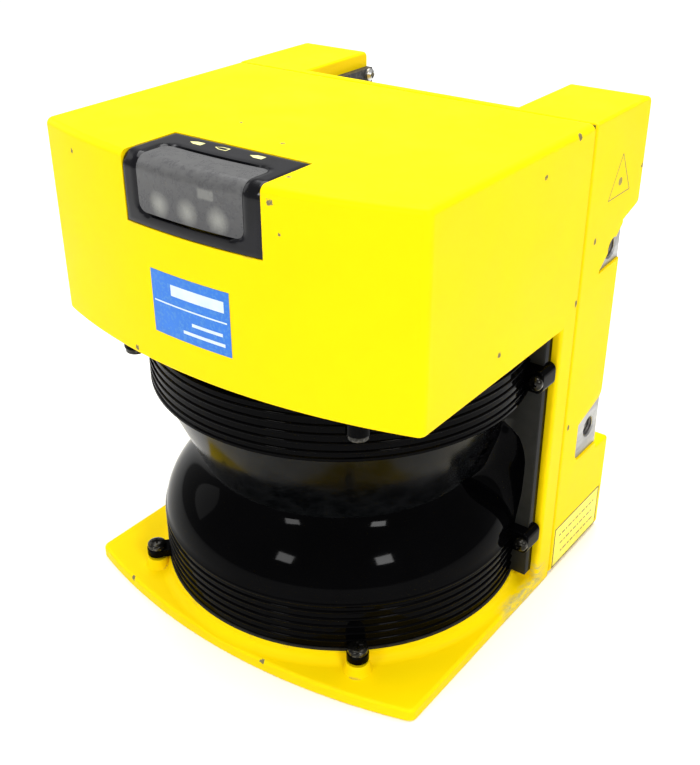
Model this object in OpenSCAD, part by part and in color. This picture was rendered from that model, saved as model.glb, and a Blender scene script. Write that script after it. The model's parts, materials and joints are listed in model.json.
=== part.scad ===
// Two-dimensional laser scanner with a 180 degree field, built as a bench assembly.
// Frame: millimetres, +Z up along the scan axis, front of the scanner towards -Y,
// origin on the underside of the base plate at the scan axis.

/* [Housing] */
// Overall width, side to side
body_w = 155; // [155:1:158]
// Overall height
body_h = 185; // [185:1:190]
// Scan axis to the middle of the curved front
front_reach = 76; // [76:0.5:78]
// Scan axis to the front corners
corner_reach = 63; // [61:0.5:65]
// Scan axis to the back of the connector boxes
rear_reach = 80; // [80:0.5:84]
// Scan axis to the joint between front and rear castings
seam_y = 35; // [35:0.5:36]
// Scan axis to the rear wall between the upper and lower blocks
recess_y = 68; // [68:0.5:70]
// Height of the underside of the head
head_z = 114; // [114:0.5:116]
// Casting wall thickness
wall = 4; // [3.5:0.25:4]
// Thickness of the base plate at its edge
plate_t = 5; // [5:0.25:6]

/* [Scan window] */
// Radius of the upper ribbed band
band_top_r = 72; // [71.5:0.25:72]
// Radius of the lower ribbed band
band_low_r = 71.5; // [71:0.25:71.5]
// Radius of the neck between the cone and the flare
neck_r = 55.5; // [55:0.25:57]
// Height of the neck
neck_z = 56; // [55:0.5:57]
// Lower edge of the upper band
band_top_z = 90; // [89:0.5:91]
// Upper edge of the lower band
band_low_z = 30; // [30:0.5:31]
// Window wall thickness
window_t = 3; // [2.5:0.25:3]

/* [Mounting holes] */
// Core radius of the M8 side threads
m8_core_r = 3.4; // [3.3:0.05:3.5]
// Thread depth of the side holes
m8_depth = 12; // [9:0.5:12]
// Distance of the side holes behind the scan axis
m8_y = 60.5; // [60:0.5:61]
// Height of the lower side holes
m8_low_z = 58; // [57:0.5:59]
// Height of the upper side holes
m8_high_z = 134; // [133:0.5:135]

/* [Rotor] */
// Height of the scan plane, where the mirror meets the scan axis
scan_z = 73; // [72.5:0.5:73.5]
// Radius of the mirror and its carrier
mirror_r = 24; // [20:0.5:24]
// Radius of the motor shaft
shaft_r = 4; // [4:0.1:4]
// Radius of the angle encoder disc
encoder_r = 32; // [30:0.5:33]
// Number of slots in the angle encoder disc
encoder_slots = 36; // [12:6:36]

/* [Hidden] */
$fn = 64;
eps = 0.01;

half_w = body_w / 2;
sagitta = front_reach - corner_reach;
front_r = (half_w * half_w + sagitta * sagitta) / (2 * sagitta);
front_cy = front_r - front_reach;

// Levels of the window and its seals
plinth_z = 9;
plinth_r = 76;
seal_t = 1;
window_z0 = plinth_z + seal_t;
window_z1 = head_z - seal_t;
flange_y = 18.5;
flange_t = 5;
flange_back = flange_y + flange_t;
flange_w = 75;
column_y = 25;
column_open_w = 58;
column_open_z0 = 14;
column_open_z1 = 108;

// Window screws through lugs on the bands
lug_angle = 41;
lug_pos_r = 76.3;
lug_r = 4;
lug_neck = 3.5;
lug_low_z = 13.5;
lug_top_z = 104;
m4_r = 2;
m4_head_r = 3.75;
m4_head_h = 2.6;
thread_gap = 0.02;

// Window screws through the side flanges
side_lug_x = 74.75;
side_lug_y = 14;
side_lug_low_z = 28;
side_lug_top_z = 98;
side_lug_half = 4.6;
m3_r = 1.5;
m3_head_r = 2.7;
m3_head_h = 2.5;

// Gasket and rear housing
gasket_t = 1;
rear_y0 = seam_y + gasket_t;
rear_z0 = 1;
lower_block_z = 45;
box_x = 46;
box_z = 142;
box_rise = 3.7;
mid_top_z = 150;
strip_y = 40;
m5_r = 2.5;
m5_head_r = 4.25;
m5_head_h = 5;
m5_bore_h = 5.5;
m5_boss_r = 6;
m5_bite = 8;
housing_screw_at = [[68, 16, rear_reach], [68, 96, recess_y], [69.5, 177, rear_reach]];
m8_boss_r = 11;
m8_point = 2;
m8_extra = 1;
m8_face = 1;

// Indicator
bezel_w = 28;
bezel_back = 50.5;
bezel_z = 162.5;
bezel_t = 3;
lens_w = 21.5;
lens_back = 62;
lens_z = 167;
led_x = 12;
led_z = 170;

// Labels
badge_x = -1.75;
badge_w = 33.5;
badge_z0 = 127;
badge_h = 22;
label_t = 0.3;

// Connector covers
cover_t = 3;
cover_y = [47, 79];
cover_z = [mid_top_z + 0.3, 179];
cover_open_y = [52, 74];
cover_open_z = [154, 174];
gland_y = 63;
gland_z = 164;
gland_r = 7.5;

// Motor
motor_r = 23;
motor_in_r = 21;
motor_top = 36;
motor_flange_r = 30;
motor_screw_r = 26.5;
bearing_r = 11;
bearing_w = 7;
bearing_z = [12, 35];
ball_ring_r = 7.4;
ball_r = 1.2;
run_gap = 0.05;
stator_z0 = 21;
stator_h = 11;
carrier_z = 49;
shaft_top = 56;

// Optics
optics_t = 5;
head_floor = head_z + wall;
optics_top = head_floor + optics_t;
optics_r = 68;
optics_back = 33;
head_open_r = 62;
barrel_r = 29;
barrel_z0 = 100;
barrel_bore_r = 24;
lens_r = 26.4;
lens_curve_r = 64;
lens_top_z = 110;
tube_r = 4.8;
hood_z0 = optics_top + 3;
hood_z1 = 156;
hood_r0 = 27;
hood_r1 = 8;
beam_z = 138;
receiver_z = 160;
pcb_t = 1.6;

function bez(a, b, c, d, t) =
    a * pow(1 - t, 3) + 3 * b * t * pow(1 - t, 2) + 3 * c * t * t * (1 - t) + d * pow(t, 3);

// Outer face of the flare, from the neck down to the lower band
function flare(inset, drop) = [for (i = [0:8]) let (t = i / 8) [
    bez(neck_r, neck_r + 3, band_low_r - 2, band_low_r - 0.5, t) - inset,
    bez(neck_z, neck_z - 6.5, band_low_z + 13.5, band_low_z + 0.5, t) - drop * t
]];

window_outer = concat(
    [[band_top_r - 2, window_z1], [band_top_r - 2, window_z1 - 3], [band_top_r, window_z1 - 4],
     [band_top_r, band_top_z], [band_top_r - 1.5, band_top_z]],
    flare(0, 0),
    [[band_low_r, band_low_z], [band_low_r, window_z0]]
);
window_inner = concat(
    [[band_top_r - 5, window_z1], [band_top_r - 5, band_top_z + 2]],
    flare(window_t, 1.5),
    [[band_low_r - 3.5, window_z0]]
);

module mirror_x() {
    for (side = [0, 1]) mirror([side, 0, 0]) children();
}

module box(x, y, z) {
    translate([x[0], y[0], z[0]]) cube([x[1] - x[0], y[1] - y[0], z[1] - z[0]]);
}

module rod_y(x, z, r, y) {
    translate([x, y[0], z]) rotate([-90, 0, 0]) cylinder(r = r, h = y[1] - y[0]);
}

module rod_x(y, z, r, x) {
    translate([x[0], y, z]) rotate([0, 90, 0]) cylinder(r = r, h = x[1] - x[0]);
}

module rod_z(x, y, r, z) {
    translate([x, y, z[0]]) cylinder(r = r, h = z[1] - z[0]);
}

module ring_z(r_in, r_out, z) {
    difference() {
        rod_z(0, 0, r_out, z);
        rod_z(0, 0, r_in, [z[0] - 1, z[1] + 1]);
    }
}

// Plan of the head and base plate: straight sides and a bowed front
module plan(inset, y_back) {
    intersection() {
        translate([0, front_cy]) circle(r = front_r - inset);
        translate([-half_w + inset, -front_reach - 1]) square([body_w - 2 * inset, front_reach + 1 + y_back]);
    }
}

module plan_solid(inset, y_back, z) {
    translate([0, 0, z[0]]) linear_extrude(height = z[1] - z[0]) plan(inset, y_back);
}

module lug_places() {
    mirror_x() rotate([0, 0, lug_angle]) translate([0, -lug_pos_r, 0]) children();
}

module side_lug_places() {
    mirror_x() for (z = [side_lug_low_z, side_lug_top_z]) translate([side_lug_x, 0, z]) children();
}

module housing_screw_places() {
    mirror_x() for (p = housing_screw_at) translate([p[0], 0, p[1]]) children();
}

// ---------- front casting ----------

module front_shell() {
    plan_solid(0, seam_y, [0, plate_t]);
    difference() {
        plan_solid(0, seam_y, [head_z, body_h]);
        plan_solid(wall, seam_y + 1, [head_floor, body_h - wall]);
    }
    difference() {
        box([-half_w, half_w], [column_y, seam_y], [0, head_floor]);
        box([-column_open_w, column_open_w], [column_y - 1, seam_y + 1], [column_open_z0, column_open_z1]);
    }
    intersection() {
        difference() {
            translate([0, 0, plate_t]) cylinder(r1 = plinth_r, r2 = band_low_r + 0.5, h = plinth_z - plate_t);
            rod_z(0, 0, band_low_r - 5.5, [plate_t, plinth_z + 1]);
        }
        box([-half_w, half_w], [-front_reach, column_y], [0, plinth_z]);
    }
    rod_z(0, 0, motor_flange_r, [plate_t - 1, plinth_z]);
    intersection() {
        lug_places() union() {
            rod_z(0, 0, lug_r + 0.5, [plate_t - 1, plinth_z]);
            rod_z(0, 0, lug_r + 1, [head_z + 1, head_floor + 8]);
        }
        plan_solid(0, seam_y, [0, body_h]);
    }
    mirror_x() rod_y(housing_screw_at[2][0], housing_screw_at[2][1], m5_boss_r, [seam_y - 13, seam_y]);
    mirror_x() box([17, 22], [-58.4, -54], [led_z, body_h - wall + 1]);
}

module indicator_block(gap, top) {
    intersection() {
        plan_solid(0, seam_y, [bezel_z + gap, top]);
        box([-bezel_w + gap, bezel_w - gap], [-front_reach - 1, -bezel_back - gap], [bezel_z, top]);
    }
}

module indicator_core(side) {
    intersection() {
        plan_solid(bezel_t, seam_y, [bezel_z - 1, body_h - bezel_t]);
        box([-side, side], [-front_reach, -bezel_back + 1], [bezel_z - 1, body_h - bezel_t]);
    }
}

module front_housing() {
    color("gold") difference() {
        front_shell();
        intersection() {
            rod_z(0, 0, head_open_r, [head_z - 1, head_floor + 1]);
            box([-half_w, half_w], [-front_reach, column_y], [head_z - 1, head_floor + 1]);
        }
        difference() {
            indicator_block(0, body_h + 1);
            indicator_core(bezel_w + 1);
        }
        box([-lens_w - 2, lens_w + 2], [-front_reach, -lens_back + 4], [lens_z - 2, body_h - 1]);
        badge_block();
        lug_places() union() {
            rod_z(0, 0, m4_r + thread_gap, [1.5, plinth_z + 1]);
            rod_z(0, 0, m4_r + thread_gap, [head_z - 1, head_floor + 6]);
        }
        side_lug_places() rod_y(0, 0, m3_r + thread_gap, [column_y - 1, column_y + m5_bite + 0.5]);
        housing_screw_places() rod_y(0, 0, m5_r + thread_gap, [seam_y - m5_bite - 0.5, seam_y + 1]);
        motor_screw_places() rod_z(0, 0, m3_r + thread_gap, [2, plinth_z + 1]);
        rod_z(0, 0, shaft_r + 2, [plate_t, plinth_z + 1]);
        rod_z(0, 0, motor_flange_r + 0.4, [plinth_z, column_open_z0 + 1]);
        rod_z(0, 0, barrel_r + 0.4, [barrel_z0 - 1, head_floor + 1]);
        optics_screw_places() rod_z(0, 0, m4_r + thread_gap, [head_z + 0.5, head_floor + 1]);
    }
}

// ---------- rear casting ----------

module rear_outside() {
    box([-half_w, half_w], [rear_y0, rear_reach], [rear_z0, lower_block_z]);
    box([-half_w, half_w], [rear_y0, recess_y], [rear_z0, box_z]);
    box([-box_x, box_x], [rear_y0, recess_y], [rear_z0, mid_top_z]);
    box([-box_x - 1, box_x + 1], [rear_y0, strip_y], [mid_top_z - 1, body_h]);
    mirror_x() translate([box_x, 0, 0]) rotate([90, 0, 90]) linear_extrude(height = half_w - box_x)
        polygon([[rear_y0, box_z - 1], [recess_y, box_z - 1], [recess_y, box_z],
                 [rear_reach, box_z + box_rise], [rear_reach, body_h], [rear_y0, body_h]]);
}

module rear_inside() {
    box([-half_w + wall, half_w - wall], [rear_y0 - 1, rear_reach - wall],
        [rear_z0 + wall, lower_block_z - wall]);
    box([-half_w + wall, half_w - wall], [rear_y0 - 1, recess_y - wall], [rear_z0 + wall, box_z - wall]);
    box([-box_x + wall, box_x - wall], [rear_y0 - 1, recess_y - wall], [rear_z0 + wall, mid_top_z - wall]);
    mirror_x() box([box_x + wall, half_w - wall], [rear_y0 + wall, rear_reach - wall],
                   [box_z + box_rise + wall, body_h - wall]);
}

module m8_places() {
    mirror_x() for (z = [m8_low_z, m8_high_z]) translate([half_w, m8_y, z]) rotate([0, 90, 0]) children();
}

// Blind holes with a drill point
module m8_holes(z, depth) {
    mirror_x() translate([half_w - m8_face - depth, m8_y, z]) rotate([0, 90, 0]) {
        cylinder(r = m8_core_r, h = depth + 5);
        translate([0, 0, -m8_point]) cylinder(r1 = 0.2, r2 = m8_core_r, h = m8_point);
    }
}

module rear_bosses() {
    intersection() {
        rear_outside();
        union() {
            m8_places() translate([0, 0, -m8_depth - m8_face - 4.5]) cylinder(r = m8_boss_r, h = 20);
            housing_screw_places() rod_y(0, 0, m5_boss_r, [rear_y0, rear_reach]);
        }
    }
}

// Machined seats around the side holes; they run out through the rear wall
module m8_seats() {
    mirror_x() translate([half_w - m8_face, 0, 0]) rotate([90, 0, 90]) linear_extrude(height = m8_face + 1) {
        polygon([[m8_y - 11.5, m8_high_z - 7], [recess_y + 1, m8_high_z - 6], [recess_y + 1, m8_high_z + 8]]);
        lower_seat();
    }
}

module lower_seat() {
    seat_r = 10.4;
    intersection() {
        union() {
            translate([m8_y - 1.5, m8_low_z]) circle(r = seat_r);
            translate([m8_y - 1.5, m8_low_z - seat_r]) square([11, 2 * seat_r]);
            translate([m8_y - 1.5 - seat_r, m8_low_z]) square([2 * seat_r, 12]);
        }
        polygon([[m8_y - 12, m8_low_z - 11], [recess_y + 1, m8_low_z - 11],
                 [recess_y + 1, m8_low_z + 13], [m8_y - 12, m8_low_z + 3]]);
    }
}

module rear_housing() {
    color("gold") difference() {
        union() {
            difference() {
                rear_outside();
                rear_inside();
            }
            rear_bosses();
        }
        m8_seats();
        m8_holes(m8_low_z, m8_depth);
        m8_holes(m8_high_z, m8_depth + m8_extra);
        mirror_x() for (p = housing_screw_at) {
            rod_y(p[0], p[1], m5_r + 0.25, [rear_y0 - 1, rear_reach + 1]);
            rod_y(p[0], p[1], m5_head_r + 0.5, [p[2] - m5_bore_h, rear_reach + 1]);
        }
        mirror_x() {
            box([box_x - 1, box_x + wall + 1], cover_open_y, cover_open_z);
            cover_screw_places() rod_x(0, 0, m3_r + thread_gap, [box_x - 1, box_x + wall + 1]);
            box([51.5, 62.5], [rear_y0 - 1, strip_y + 1], [152, 172]);
        }
        mirror([1, 0, 0]) label_block();
        label_block();
    }
}

module housing_gasket() {
    color("dimgray") difference() {
        box([-half_w + 0.8, half_w - 0.8], [seam_y, rear_y0], [rear_z0 + 0.8, body_h - 0.8]);
        box([-half_w + wall, half_w - wall], [seam_y - 1, rear_y0 + 1], [rear_z0 + wall, body_h - wall]);
    }
}

module housing_screws() {
    color("silver") mirror_x() for (p = housing_screw_at) translate([p[0], 0, p[1]]) difference() {
        union() {
            rod_y(0, 0, m5_r, [seam_y - m5_bite, p[2] - m5_bore_h + 1]);
            rod_y(0, 0, m5_head_r, [p[2] - m5_bore_h, p[2] - m5_bore_h + m5_head_h]);
        }
        translate([0, p[2] - m5_bore_h + 2.2, 0]) rotate([-90, 0, 0]) cylinder(r = 2.3, h = 5, $fn = 6);
    }
}

// ---------- scan window ----------

module ribbed(z_first, r) {
    for (i = [0:4]) translate([r, z_first + 3.4 * i]) circle(r = 0.6, $fn = 24);
}

module window_profile() {
    difference() {
        polygon(concat([[0, window_z1]], window_outer, [[0, window_z0]]));
        ribbed(band_low_z - 16.6, band_low_r + 0.1);
        ribbed(band_top_z + 3.6, band_top_r + 0.1);
    }
}

module window_core() {
    rotate_extrude($fn = 96) polygon(concat(
        [[0, window_z1 + 1], [window_inner[0][0], window_z1 + 1]],
        window_inner,
        [[band_low_r - 3.5, window_z0 - 1], [0, window_z0 - 1]]
    ));
}

module scan_window() {
    color([0.05, 0.05, 0.06]) difference() {
        union() {
            intersection() {
                rotate_extrude($fn = 96) window_profile();
                box([-90, 90], [-90, flange_y + 1], [0, head_z]);
            }
            box([-flange_w, flange_w], [flange_y, flange_back], [window_z0, window_z1]);
            lug_places() union() {
                rod_z(0, 0, lug_r, [window_z0, lug_low_z]);
                box([-lug_neck, lug_neck], [0, lug_pos_r - band_low_r + 2], [window_z0, lug_low_z]);
                rod_z(0, 0, lug_r, [lug_top_z, window_z1]);
                box([-lug_neck, lug_neck], [0, lug_pos_r - band_low_r + 3], [lug_top_z, window_z1]);
            }
            side_lug_places() box([-6.5, 2.6], [side_lug_y, flange_back], [-side_lug_half, side_lug_half]);
        }
        window_core();
        lug_places() rod_z(0, 0, m4_r + 0.15, [0, head_z]);
        side_lug_places() rod_y(0, 0, m3_r + 0.1, [0, column_y]);
    }
}

module seal_ring(r_out, z) {
    intersection() {
        ring_z(r_out - 3.5, r_out, z);
        box([-90, 90], [-90, flange_back], z);
    }
}

module window_seal_upper() {
    color("dimgray") seal_ring(band_top_r - 2, [window_z1, head_z]);
}

module window_seal_lower() {
    color("dimgray") seal_ring(band_low_r, [plinth_z, window_z0]);
}

module window_seal_sides() {
    color("dimgray") mirror_x() box([62, 72.5], [flange_back, column_y], [window_z0, window_z1]);
}

module pan_screw(shank, r, head_r, head_h) {
    difference() {
        union() {
            rod_z(0, 0, r, [-shank, 0.5]);
            rod_z(0, 0, head_r, [0, head_h - 1]);
            translate([0, 0, head_h - 1]) cylinder(r1 = head_r, r2 = head_r - 1.2, h = 1);
        }
        box([-head_r + 1.2, head_r - 1.2], [-0.5, 0.5], [head_h - 1.2, head_h + 1]);
        box([-0.5, 0.5], [-head_r + 1.2, head_r - 1.2], [head_h - 1.2, head_h + 1]);
    }
}

module window_screws() {
    color([0.12, 0.12, 0.13]) lug_places() union() {
        translate([0, 0, lug_low_z]) pan_screw(11.5, m4_r, m4_head_r, m4_head_h);
        translate([0, 0, lug_top_z]) mirror([0, 0, 1]) pan_screw(19, m4_r, m4_head_r, m4_head_h);
    }
}

module window_side_screws() {
    color([0.12, 0.12, 0.13]) side_lug_places() translate([0, side_lug_y, 0]) rotate([90, 0, 0])
        pan_screw(19, m3_r, m3_head_r, m3_head_h);
}

// ---------- indicator and labels ----------

module indicator_bezel() {
    color([0.04, 0.04, 0.05]) difference() {
        indicator_block(0.1, body_h);
        indicator_core(bezel_w + 1);
        indicator_hole(0);
    }
}

module indicator_hole(gap) {
    box([-lens_w + gap, lens_w - gap], [-front_reach - 1, -lens_back - gap], [lens_z + gap, body_h + 1]);
}

module indicator_lens() {
    color([0.55, 0.56, 0.58, 0.6]) intersection() {
        difference() {
            indicator_block(0, body_h);
            indicator_core(bezel_w + 1);
        }
        indicator_hole(0.1);
    }
}

module light_guides() {
    color([0.9, 0.9, 0.9, 0.5]) for (x = [-led_x, 0, led_x]) rod_y(x, led_z, 3, [-72, -65]);
}

module indicator_leds() {
    color("white") for (x = [-led_x, 0, led_x]) rod_y(x, led_z, 2.5, [-65, -60]);
}

module indicator_board() {
    color("darkgreen") box([-23, 23], [-60, -58.4], [160, 179]);
}

module badge_block() {
    intersection() {
        difference() {
            plan_solid(-1, seam_y, [badge_z0, badge_z0 + badge_h]);
            plan_solid(label_t, seam_y + 1, [badge_z0 - 1, badge_z0 + badge_h + 1]);
        }
        box([badge_x - badge_w / 2, badge_x + badge_w / 2], [-front_reach - 2, -60], [0, body_h]);
    }
}

module front_badge() {
    color([0.12, 0.4, 0.72]) intersection() {
        badge_block();
        plan_solid(0, seam_y, [0, body_h]);
    }
}

module label_block() {
    box([half_w - label_t, half_w + 1], [38, 77], [2, 21]);
}

module type_label() {
    color([0.95, 0.86, 0.2]) intersection() {
        mirror_x() label_block();
        box([-half_w, half_w], [0, rear_reach], [0, body_h]);
    }
}

// ---------- connectors ----------

module cover_screw_places() {
    for (y = [cover_y[0] + 2.5, cover_y[1] - 2.5]) for (z = [cover_z[0] + 2.5, cover_z[1] - 2.5])
        translate([0, y, z]) children();
}

module connector_covers() {
    color([0.15, 0.15, 0.16]) mirror_x() difference() {
        box([box_x - cover_t, box_x], cover_y, cover_z);
        rod_x(gland_y, gland_z, gland_r + 0.1, [box_x - cover_t - 1, box_x + 1]);
        cover_screw_places() rod_x(0, 0, m3_r + 0.15, [box_x - cover_t - 1, box_x + 1]);
    }
}

module connector_cover_screws() {
    color("silver") mirror_x() cover_screw_places() translate([box_x - cover_t, 0, 0]) rotate([0, -90, 0])
        pan_screw(6, m3_r, m3_head_r - 0.2, 2);
}

module cable_glands() {
    color([0.2, 0.2, 0.21]) mirror_x() translate([0, gland_y, gland_z]) rotate([0, 90, 0]) difference() {
        union() {
            translate([0, 0, box_x - cover_t - 5]) cylinder(r = 10.5, h = 5, $fn = 6);
            rod_z(0, 0, 9, [box_x - cover_t - 12, box_x - cover_t - 4]);
            rod_z(0, 0, gland_r, [box_x - cover_t - 1, box_x + 4]);
        }
        rod_z(0, 0, 5, [box_x - cover_t - 13, box_x + 5]);
    }
}

module gland_nuts() {
    color("silver") mirror_x() translate([0, gland_y, gland_z]) rotate([0, 90, 0]) difference() {
        translate([0, 0, box_x]) cylinder(r = 9.8, h = 3, $fn = 6);
        rod_z(0, 0, gland_r + thread_gap, [box_x - 1, box_x + 4]);
    }
}

module blanking_plugs() {
    color([0.1, 0.1, 0.1]) mirror_x() {
        rod_x(gland_y, gland_z, 4.95, [box_x - cover_t - 11, box_x + 2]);
        rod_x(gland_y, gland_z, 7, [box_x - cover_t - 13.5, box_x - cover_t - 12]);
        rod_x(gland_y, gland_z, 4.95, [box_x - cover_t - 12.5, box_x - cover_t - 10]);
    }
}

module plug_sockets() {
    color("silver") mirror_x() difference() {
        union() {
            box([50.7, 63.3], [strip_y, strip_y + 1.2], [150, 174]);
            box([52.5, 61.5], [rear_y0 + 0.5, strip_y + 7], [153.5, 170.5]);
        }
        box([53.3, 60.7], [strip_y + 2, strip_y + 8], [154.3, 169.7]);
    }
}

// ---------- electronics in the rear housing ----------

main_board_y = 44;
power_board_y = 70;

module main_board() {
    color("darkgreen") box([-57, 57], [main_board_y, main_board_y + pcb_t], [18, 132]);
}

module main_board_parts() {
    color([0.1, 0.1, 0.1]) {
        box([-14, 14], [main_board_y - 2.5, main_board_y], [62, 90]);
        for (x = [-42, 26]) box([x, x + 16], [main_board_y - 2.2, main_board_y], [40, 54]);
        for (x = [-44, -30, 20, 34]) box([x, x + 9], [main_board_y - 2, main_board_y], [70, 90]);
        box([-30, 30], [main_board_y - 9, main_board_y], [22, 29]);
        box([-16, 16], [main_board_y - 7, main_board_y], [116, 123]);
    }
}

module power_board() {
    color("darkgreen") box([-54, 54], [power_board_y, power_board_y + pcb_t], [8, 38]);
}

module power_board_parts() {
    color([0.2, 0.25, 0.3]) {
        for (x = [-44, -26]) rod_y(x, 24, 7, [power_board_y - 18, power_board_y]);
        box([-12, 12], [power_board_y - 15, power_board_y], [13, 33]);
        for (x = [24, 36]) box([x, x + 6], [power_board_y - 12, power_board_y], [15, 31]);
    }
}

module board_standoffs() {
    color("silver") {
        mirror_x() for (z = [36, 114]) rod_y(50, z, 3, [main_board_y + pcb_t, recess_y - wall]);
        mirror_x() rod_y(49, 24, 3, [power_board_y + pcb_t, rear_reach - wall]);
        for (sx = [-1, 1]) for (sy = [-1, 1]) rod_z(22 * sx, 22 * sy, 2.5, [hood_z0, receiver_z]);
        mirror_x() for (y = [-50, 6]) {
            x = sqrt(57 * 57 - y * y);
            rod_z(x, y, 2.5, [plate_t, 26]);
        }
        mirror_x() for (y = [-46, 6]) {
            x = sqrt(53 * 53 - y * y);
            rod_z(x, y, 2, [110 + pcb_t, head_floor]);
        }
    }
}

module ribbon_cable() {
    board_top = receiver_z + pcb_t;
    color([0.6, 0.6, 0.62]) translate([-12, 0, 0]) rotate([90, 0, 90]) linear_extrude(height = 24)
        polygon([[20, board_top], [33.2, board_top], [33.2, 140], [40, 130], [40, 123],
                 [40.8, 123], [40.8, 130.3], [34, 140.3], [34, board_top + 0.8], [20, board_top + 0.8]]);
}

// ---------- optics in the head ----------

module optics_screw_places() {
    for (a = [-110, -70, 70, 110]) rotate([0, 0, a]) translate([0, -(head_open_r + optics_r) / 2, 0])
        children();
}

module optics_plate() {
    color("silver") difference() {
        intersection() {
            rod_z(0, 0, optics_r, [head_floor, optics_top]);
            box([-half_w, half_w], [-half_w, optics_back], [head_floor, optics_top]);
        }
        rod_z(0, 0, barrel_r, [head_floor - 1, optics_top + 1]);
        optics_screw_places() rod_z(0, 0, m4_r + 0.1, [head_floor - 1, optics_top + 1]);
    }
}

module optics_plate_screws() {
    color("silver") optics_screw_places() translate([0, 0, optics_top])
        pan_screw(optics_t + 3, m4_r, 2.9, 2);
}

module lens_barrel() {
    color([0.1, 0.1, 0.1]) difference() {
        union() {
            rod_z(0, 0, barrel_r, [barrel_z0, optics_top]);
            rod_z(0, 0, 35, [optics_top, hood_z0]);
        }
        rod_z(0, 0, lens_r, [barrel_z0 + 2, hood_z0 + 1]);
        rod_z(0, 0, barrel_bore_r, [barrel_z0 - 1, hood_z0]);
    }
}

module receiver_lens() {
    ledge_z = barrel_z0 + 2;
    curve_z = ledge_z + sqrt(lens_curve_r * lens_curve_r - barrel_bore_r * barrel_bore_r);
    color([0.8, 0.9, 0.95, 0.4]) rotate_extrude($fn = 96) difference() {
        intersection() {
            translate([0, curve_z]) circle(r = lens_curve_r, $fn = 96);
            translate([0, barrel_z0 - 4]) square([lens_r, lens_top_z - barrel_z0 + 4]);
        }
        translate([-1, barrel_z0 - 5]) square([tube_r + 1, lens_top_z]);
    }
}

module lens_ring() {
    color([0.1, 0.1, 0.1]) ring_z(barrel_bore_r - 1, lens_r, [lens_top_z, lens_top_z + 3]);
}

module transmit_tube() {
    color([0.15, 0.15, 0.15]) ring_z(3.6, tube_r, [barrel_z0 - 0.5, beam_z - 8]);
}

module fold_mirror() {
    color([0.8, 0.85, 0.9]) translate([0, 0, beam_z]) rotate([0, 135, 0]) box([-5.5, 5.5], [-4, 4], [-1.5, 0]);
}

module fold_mirror_bars() {
    color([0.2, 0.2, 0.2]) for (side = [0, 1]) mirror([0, side, 0])
        box([-2.2, -0.6], [4, 17], [beam_z - 1.5, beam_z + 1.5]);
}

module light_hood() {
    color([0.1, 0.1, 0.1]) difference() {
        rotate_extrude($fn = 96) polygon([
            [hood_r0 - 1.5, hood_z0], [hood_r0, hood_z0], [hood_r1, hood_z1], [hood_r1 - 1.5, hood_z1]
        ]);
        rod_x(0, beam_z, 5, [0, 40]);
    }
}

module laser_module() {
    color("goldenrod") rod_x(0, beam_z, 8, [26, 48]);
}

module laser_lens() {
    color([0.8, 0.9, 0.95, 0.5]) rod_x(0, beam_z, 6, [24, 26]);
}

module laser_bracket() {
    color("silver") difference() {
        box([37, 46], [-11, 11], [optics_top, beam_z - 3]);
        rod_x(0, beam_z, 8, [30, 50]);
    }
}

module laser_board() {
    color("darkgreen") box([48, 48 + pcb_t], [-16, 16], [optics_top + 2, beam_z + 16]);
}

module receiver_board() {
    color("darkgreen") box([-27, 27], [-27, 27], [receiver_z, receiver_z + pcb_t]);
}

module photodiode() {
    color("silver") rod_z(0, 0, 4.6, [receiver_z - 4, receiver_z]);
}

// ---------- window soiling monitor ----------

module arc_board(r_in, r_out, z) {
    intersection() {
        ring_z(r_in, r_out, z);
        box([-90, 90], [-90, 14], z);
    }
}

module monitor_places(r) {
    for (a = [-75:25:75]) rotate([0, 0, a]) translate([0, -r, 0]) children();
}

module monitor_emitter_board() {
    color("darkgreen") arc_board(48, 62, [26, 26 + pcb_t]);
}

module monitor_emitters() {
    color([0.3, 0.3, 0.4]) monitor_places(57) rod_z(0, 0, 2.5, [26 + pcb_t, 32]);
}

module monitor_detector_board() {
    color("darkgreen") arc_board(48, 60, [110, 110 + pcb_t]);
}

module monitor_detectors() {
    color([0.1, 0.1, 0.2]) monitor_places(56) box([-2.5, 2.5], [-2.5, 2.5], [107, 110]);
}

// ---------- motor, fixed side ----------

module motor_screw_places() {
    for (a = [30, 150, 270]) rotate([0, 0, a]) translate([motor_screw_r, 0, 0]) children();
}

module motor_housing() {
    color([0.35, 0.35, 0.37]) difference() {
        union() {
            rod_z(0, 0, motor_flange_r, [plinth_z, plinth_z + 3]);
            rod_z(0, 0, motor_r, [plinth_z, motor_top]);
        }
        difference() {
            rod_z(0, 0, motor_in_r, [plinth_z + 3, motor_top + 1]);
            rod_z(0, 0, bearing_r + 3, [plinth_z, bearing_z[0] + bearing_w]);
        }
        rod_z(0, 0, bearing_r, [bearing_z[0], motor_top]);
        rod_z(0, 0, shaft_r + 2, [plinth_z - 1, motor_top]);
        motor_screw_places() rod_z(0, 0, m3_r + 0.1, [plinth_z - 1, plinth_z + 4]);
    }
}

module motor_cap() {
    color([0.45, 0.45, 0.47]) difference() {
        union() {
            rod_z(0, 0, motor_r, [motor_top, motor_top + 3]);
            rod_z(0, 0, bearing_r + 3, [bearing_z[1], motor_top + 7]);
        }
        rod_z(0, 0, bearing_r, [bearing_z[1] - 1, bearing_z[1] + bearing_w]);
        rod_z(0, 0, 8.8, [bearing_z[1], motor_top + 8]);
    }
}

module motor_screws() {
    color("silver") motor_screw_places() translate([0, 0, plinth_z + 3])
        pan_screw(plinth_z, m3_r, m3_head_r, m3_head_h);
}

module stator_core() {
    color([0.55, 0.55, 0.58]) {
        ring_z(17, motor_in_r, [stator_z0, stator_z0 + stator_h]);
        for (a = [0:60:300]) rotate([0, 0, a]) box([10.6, 17.5], [-2, 2], [stator_z0, stator_z0 + stator_h]);
    }
}

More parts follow.
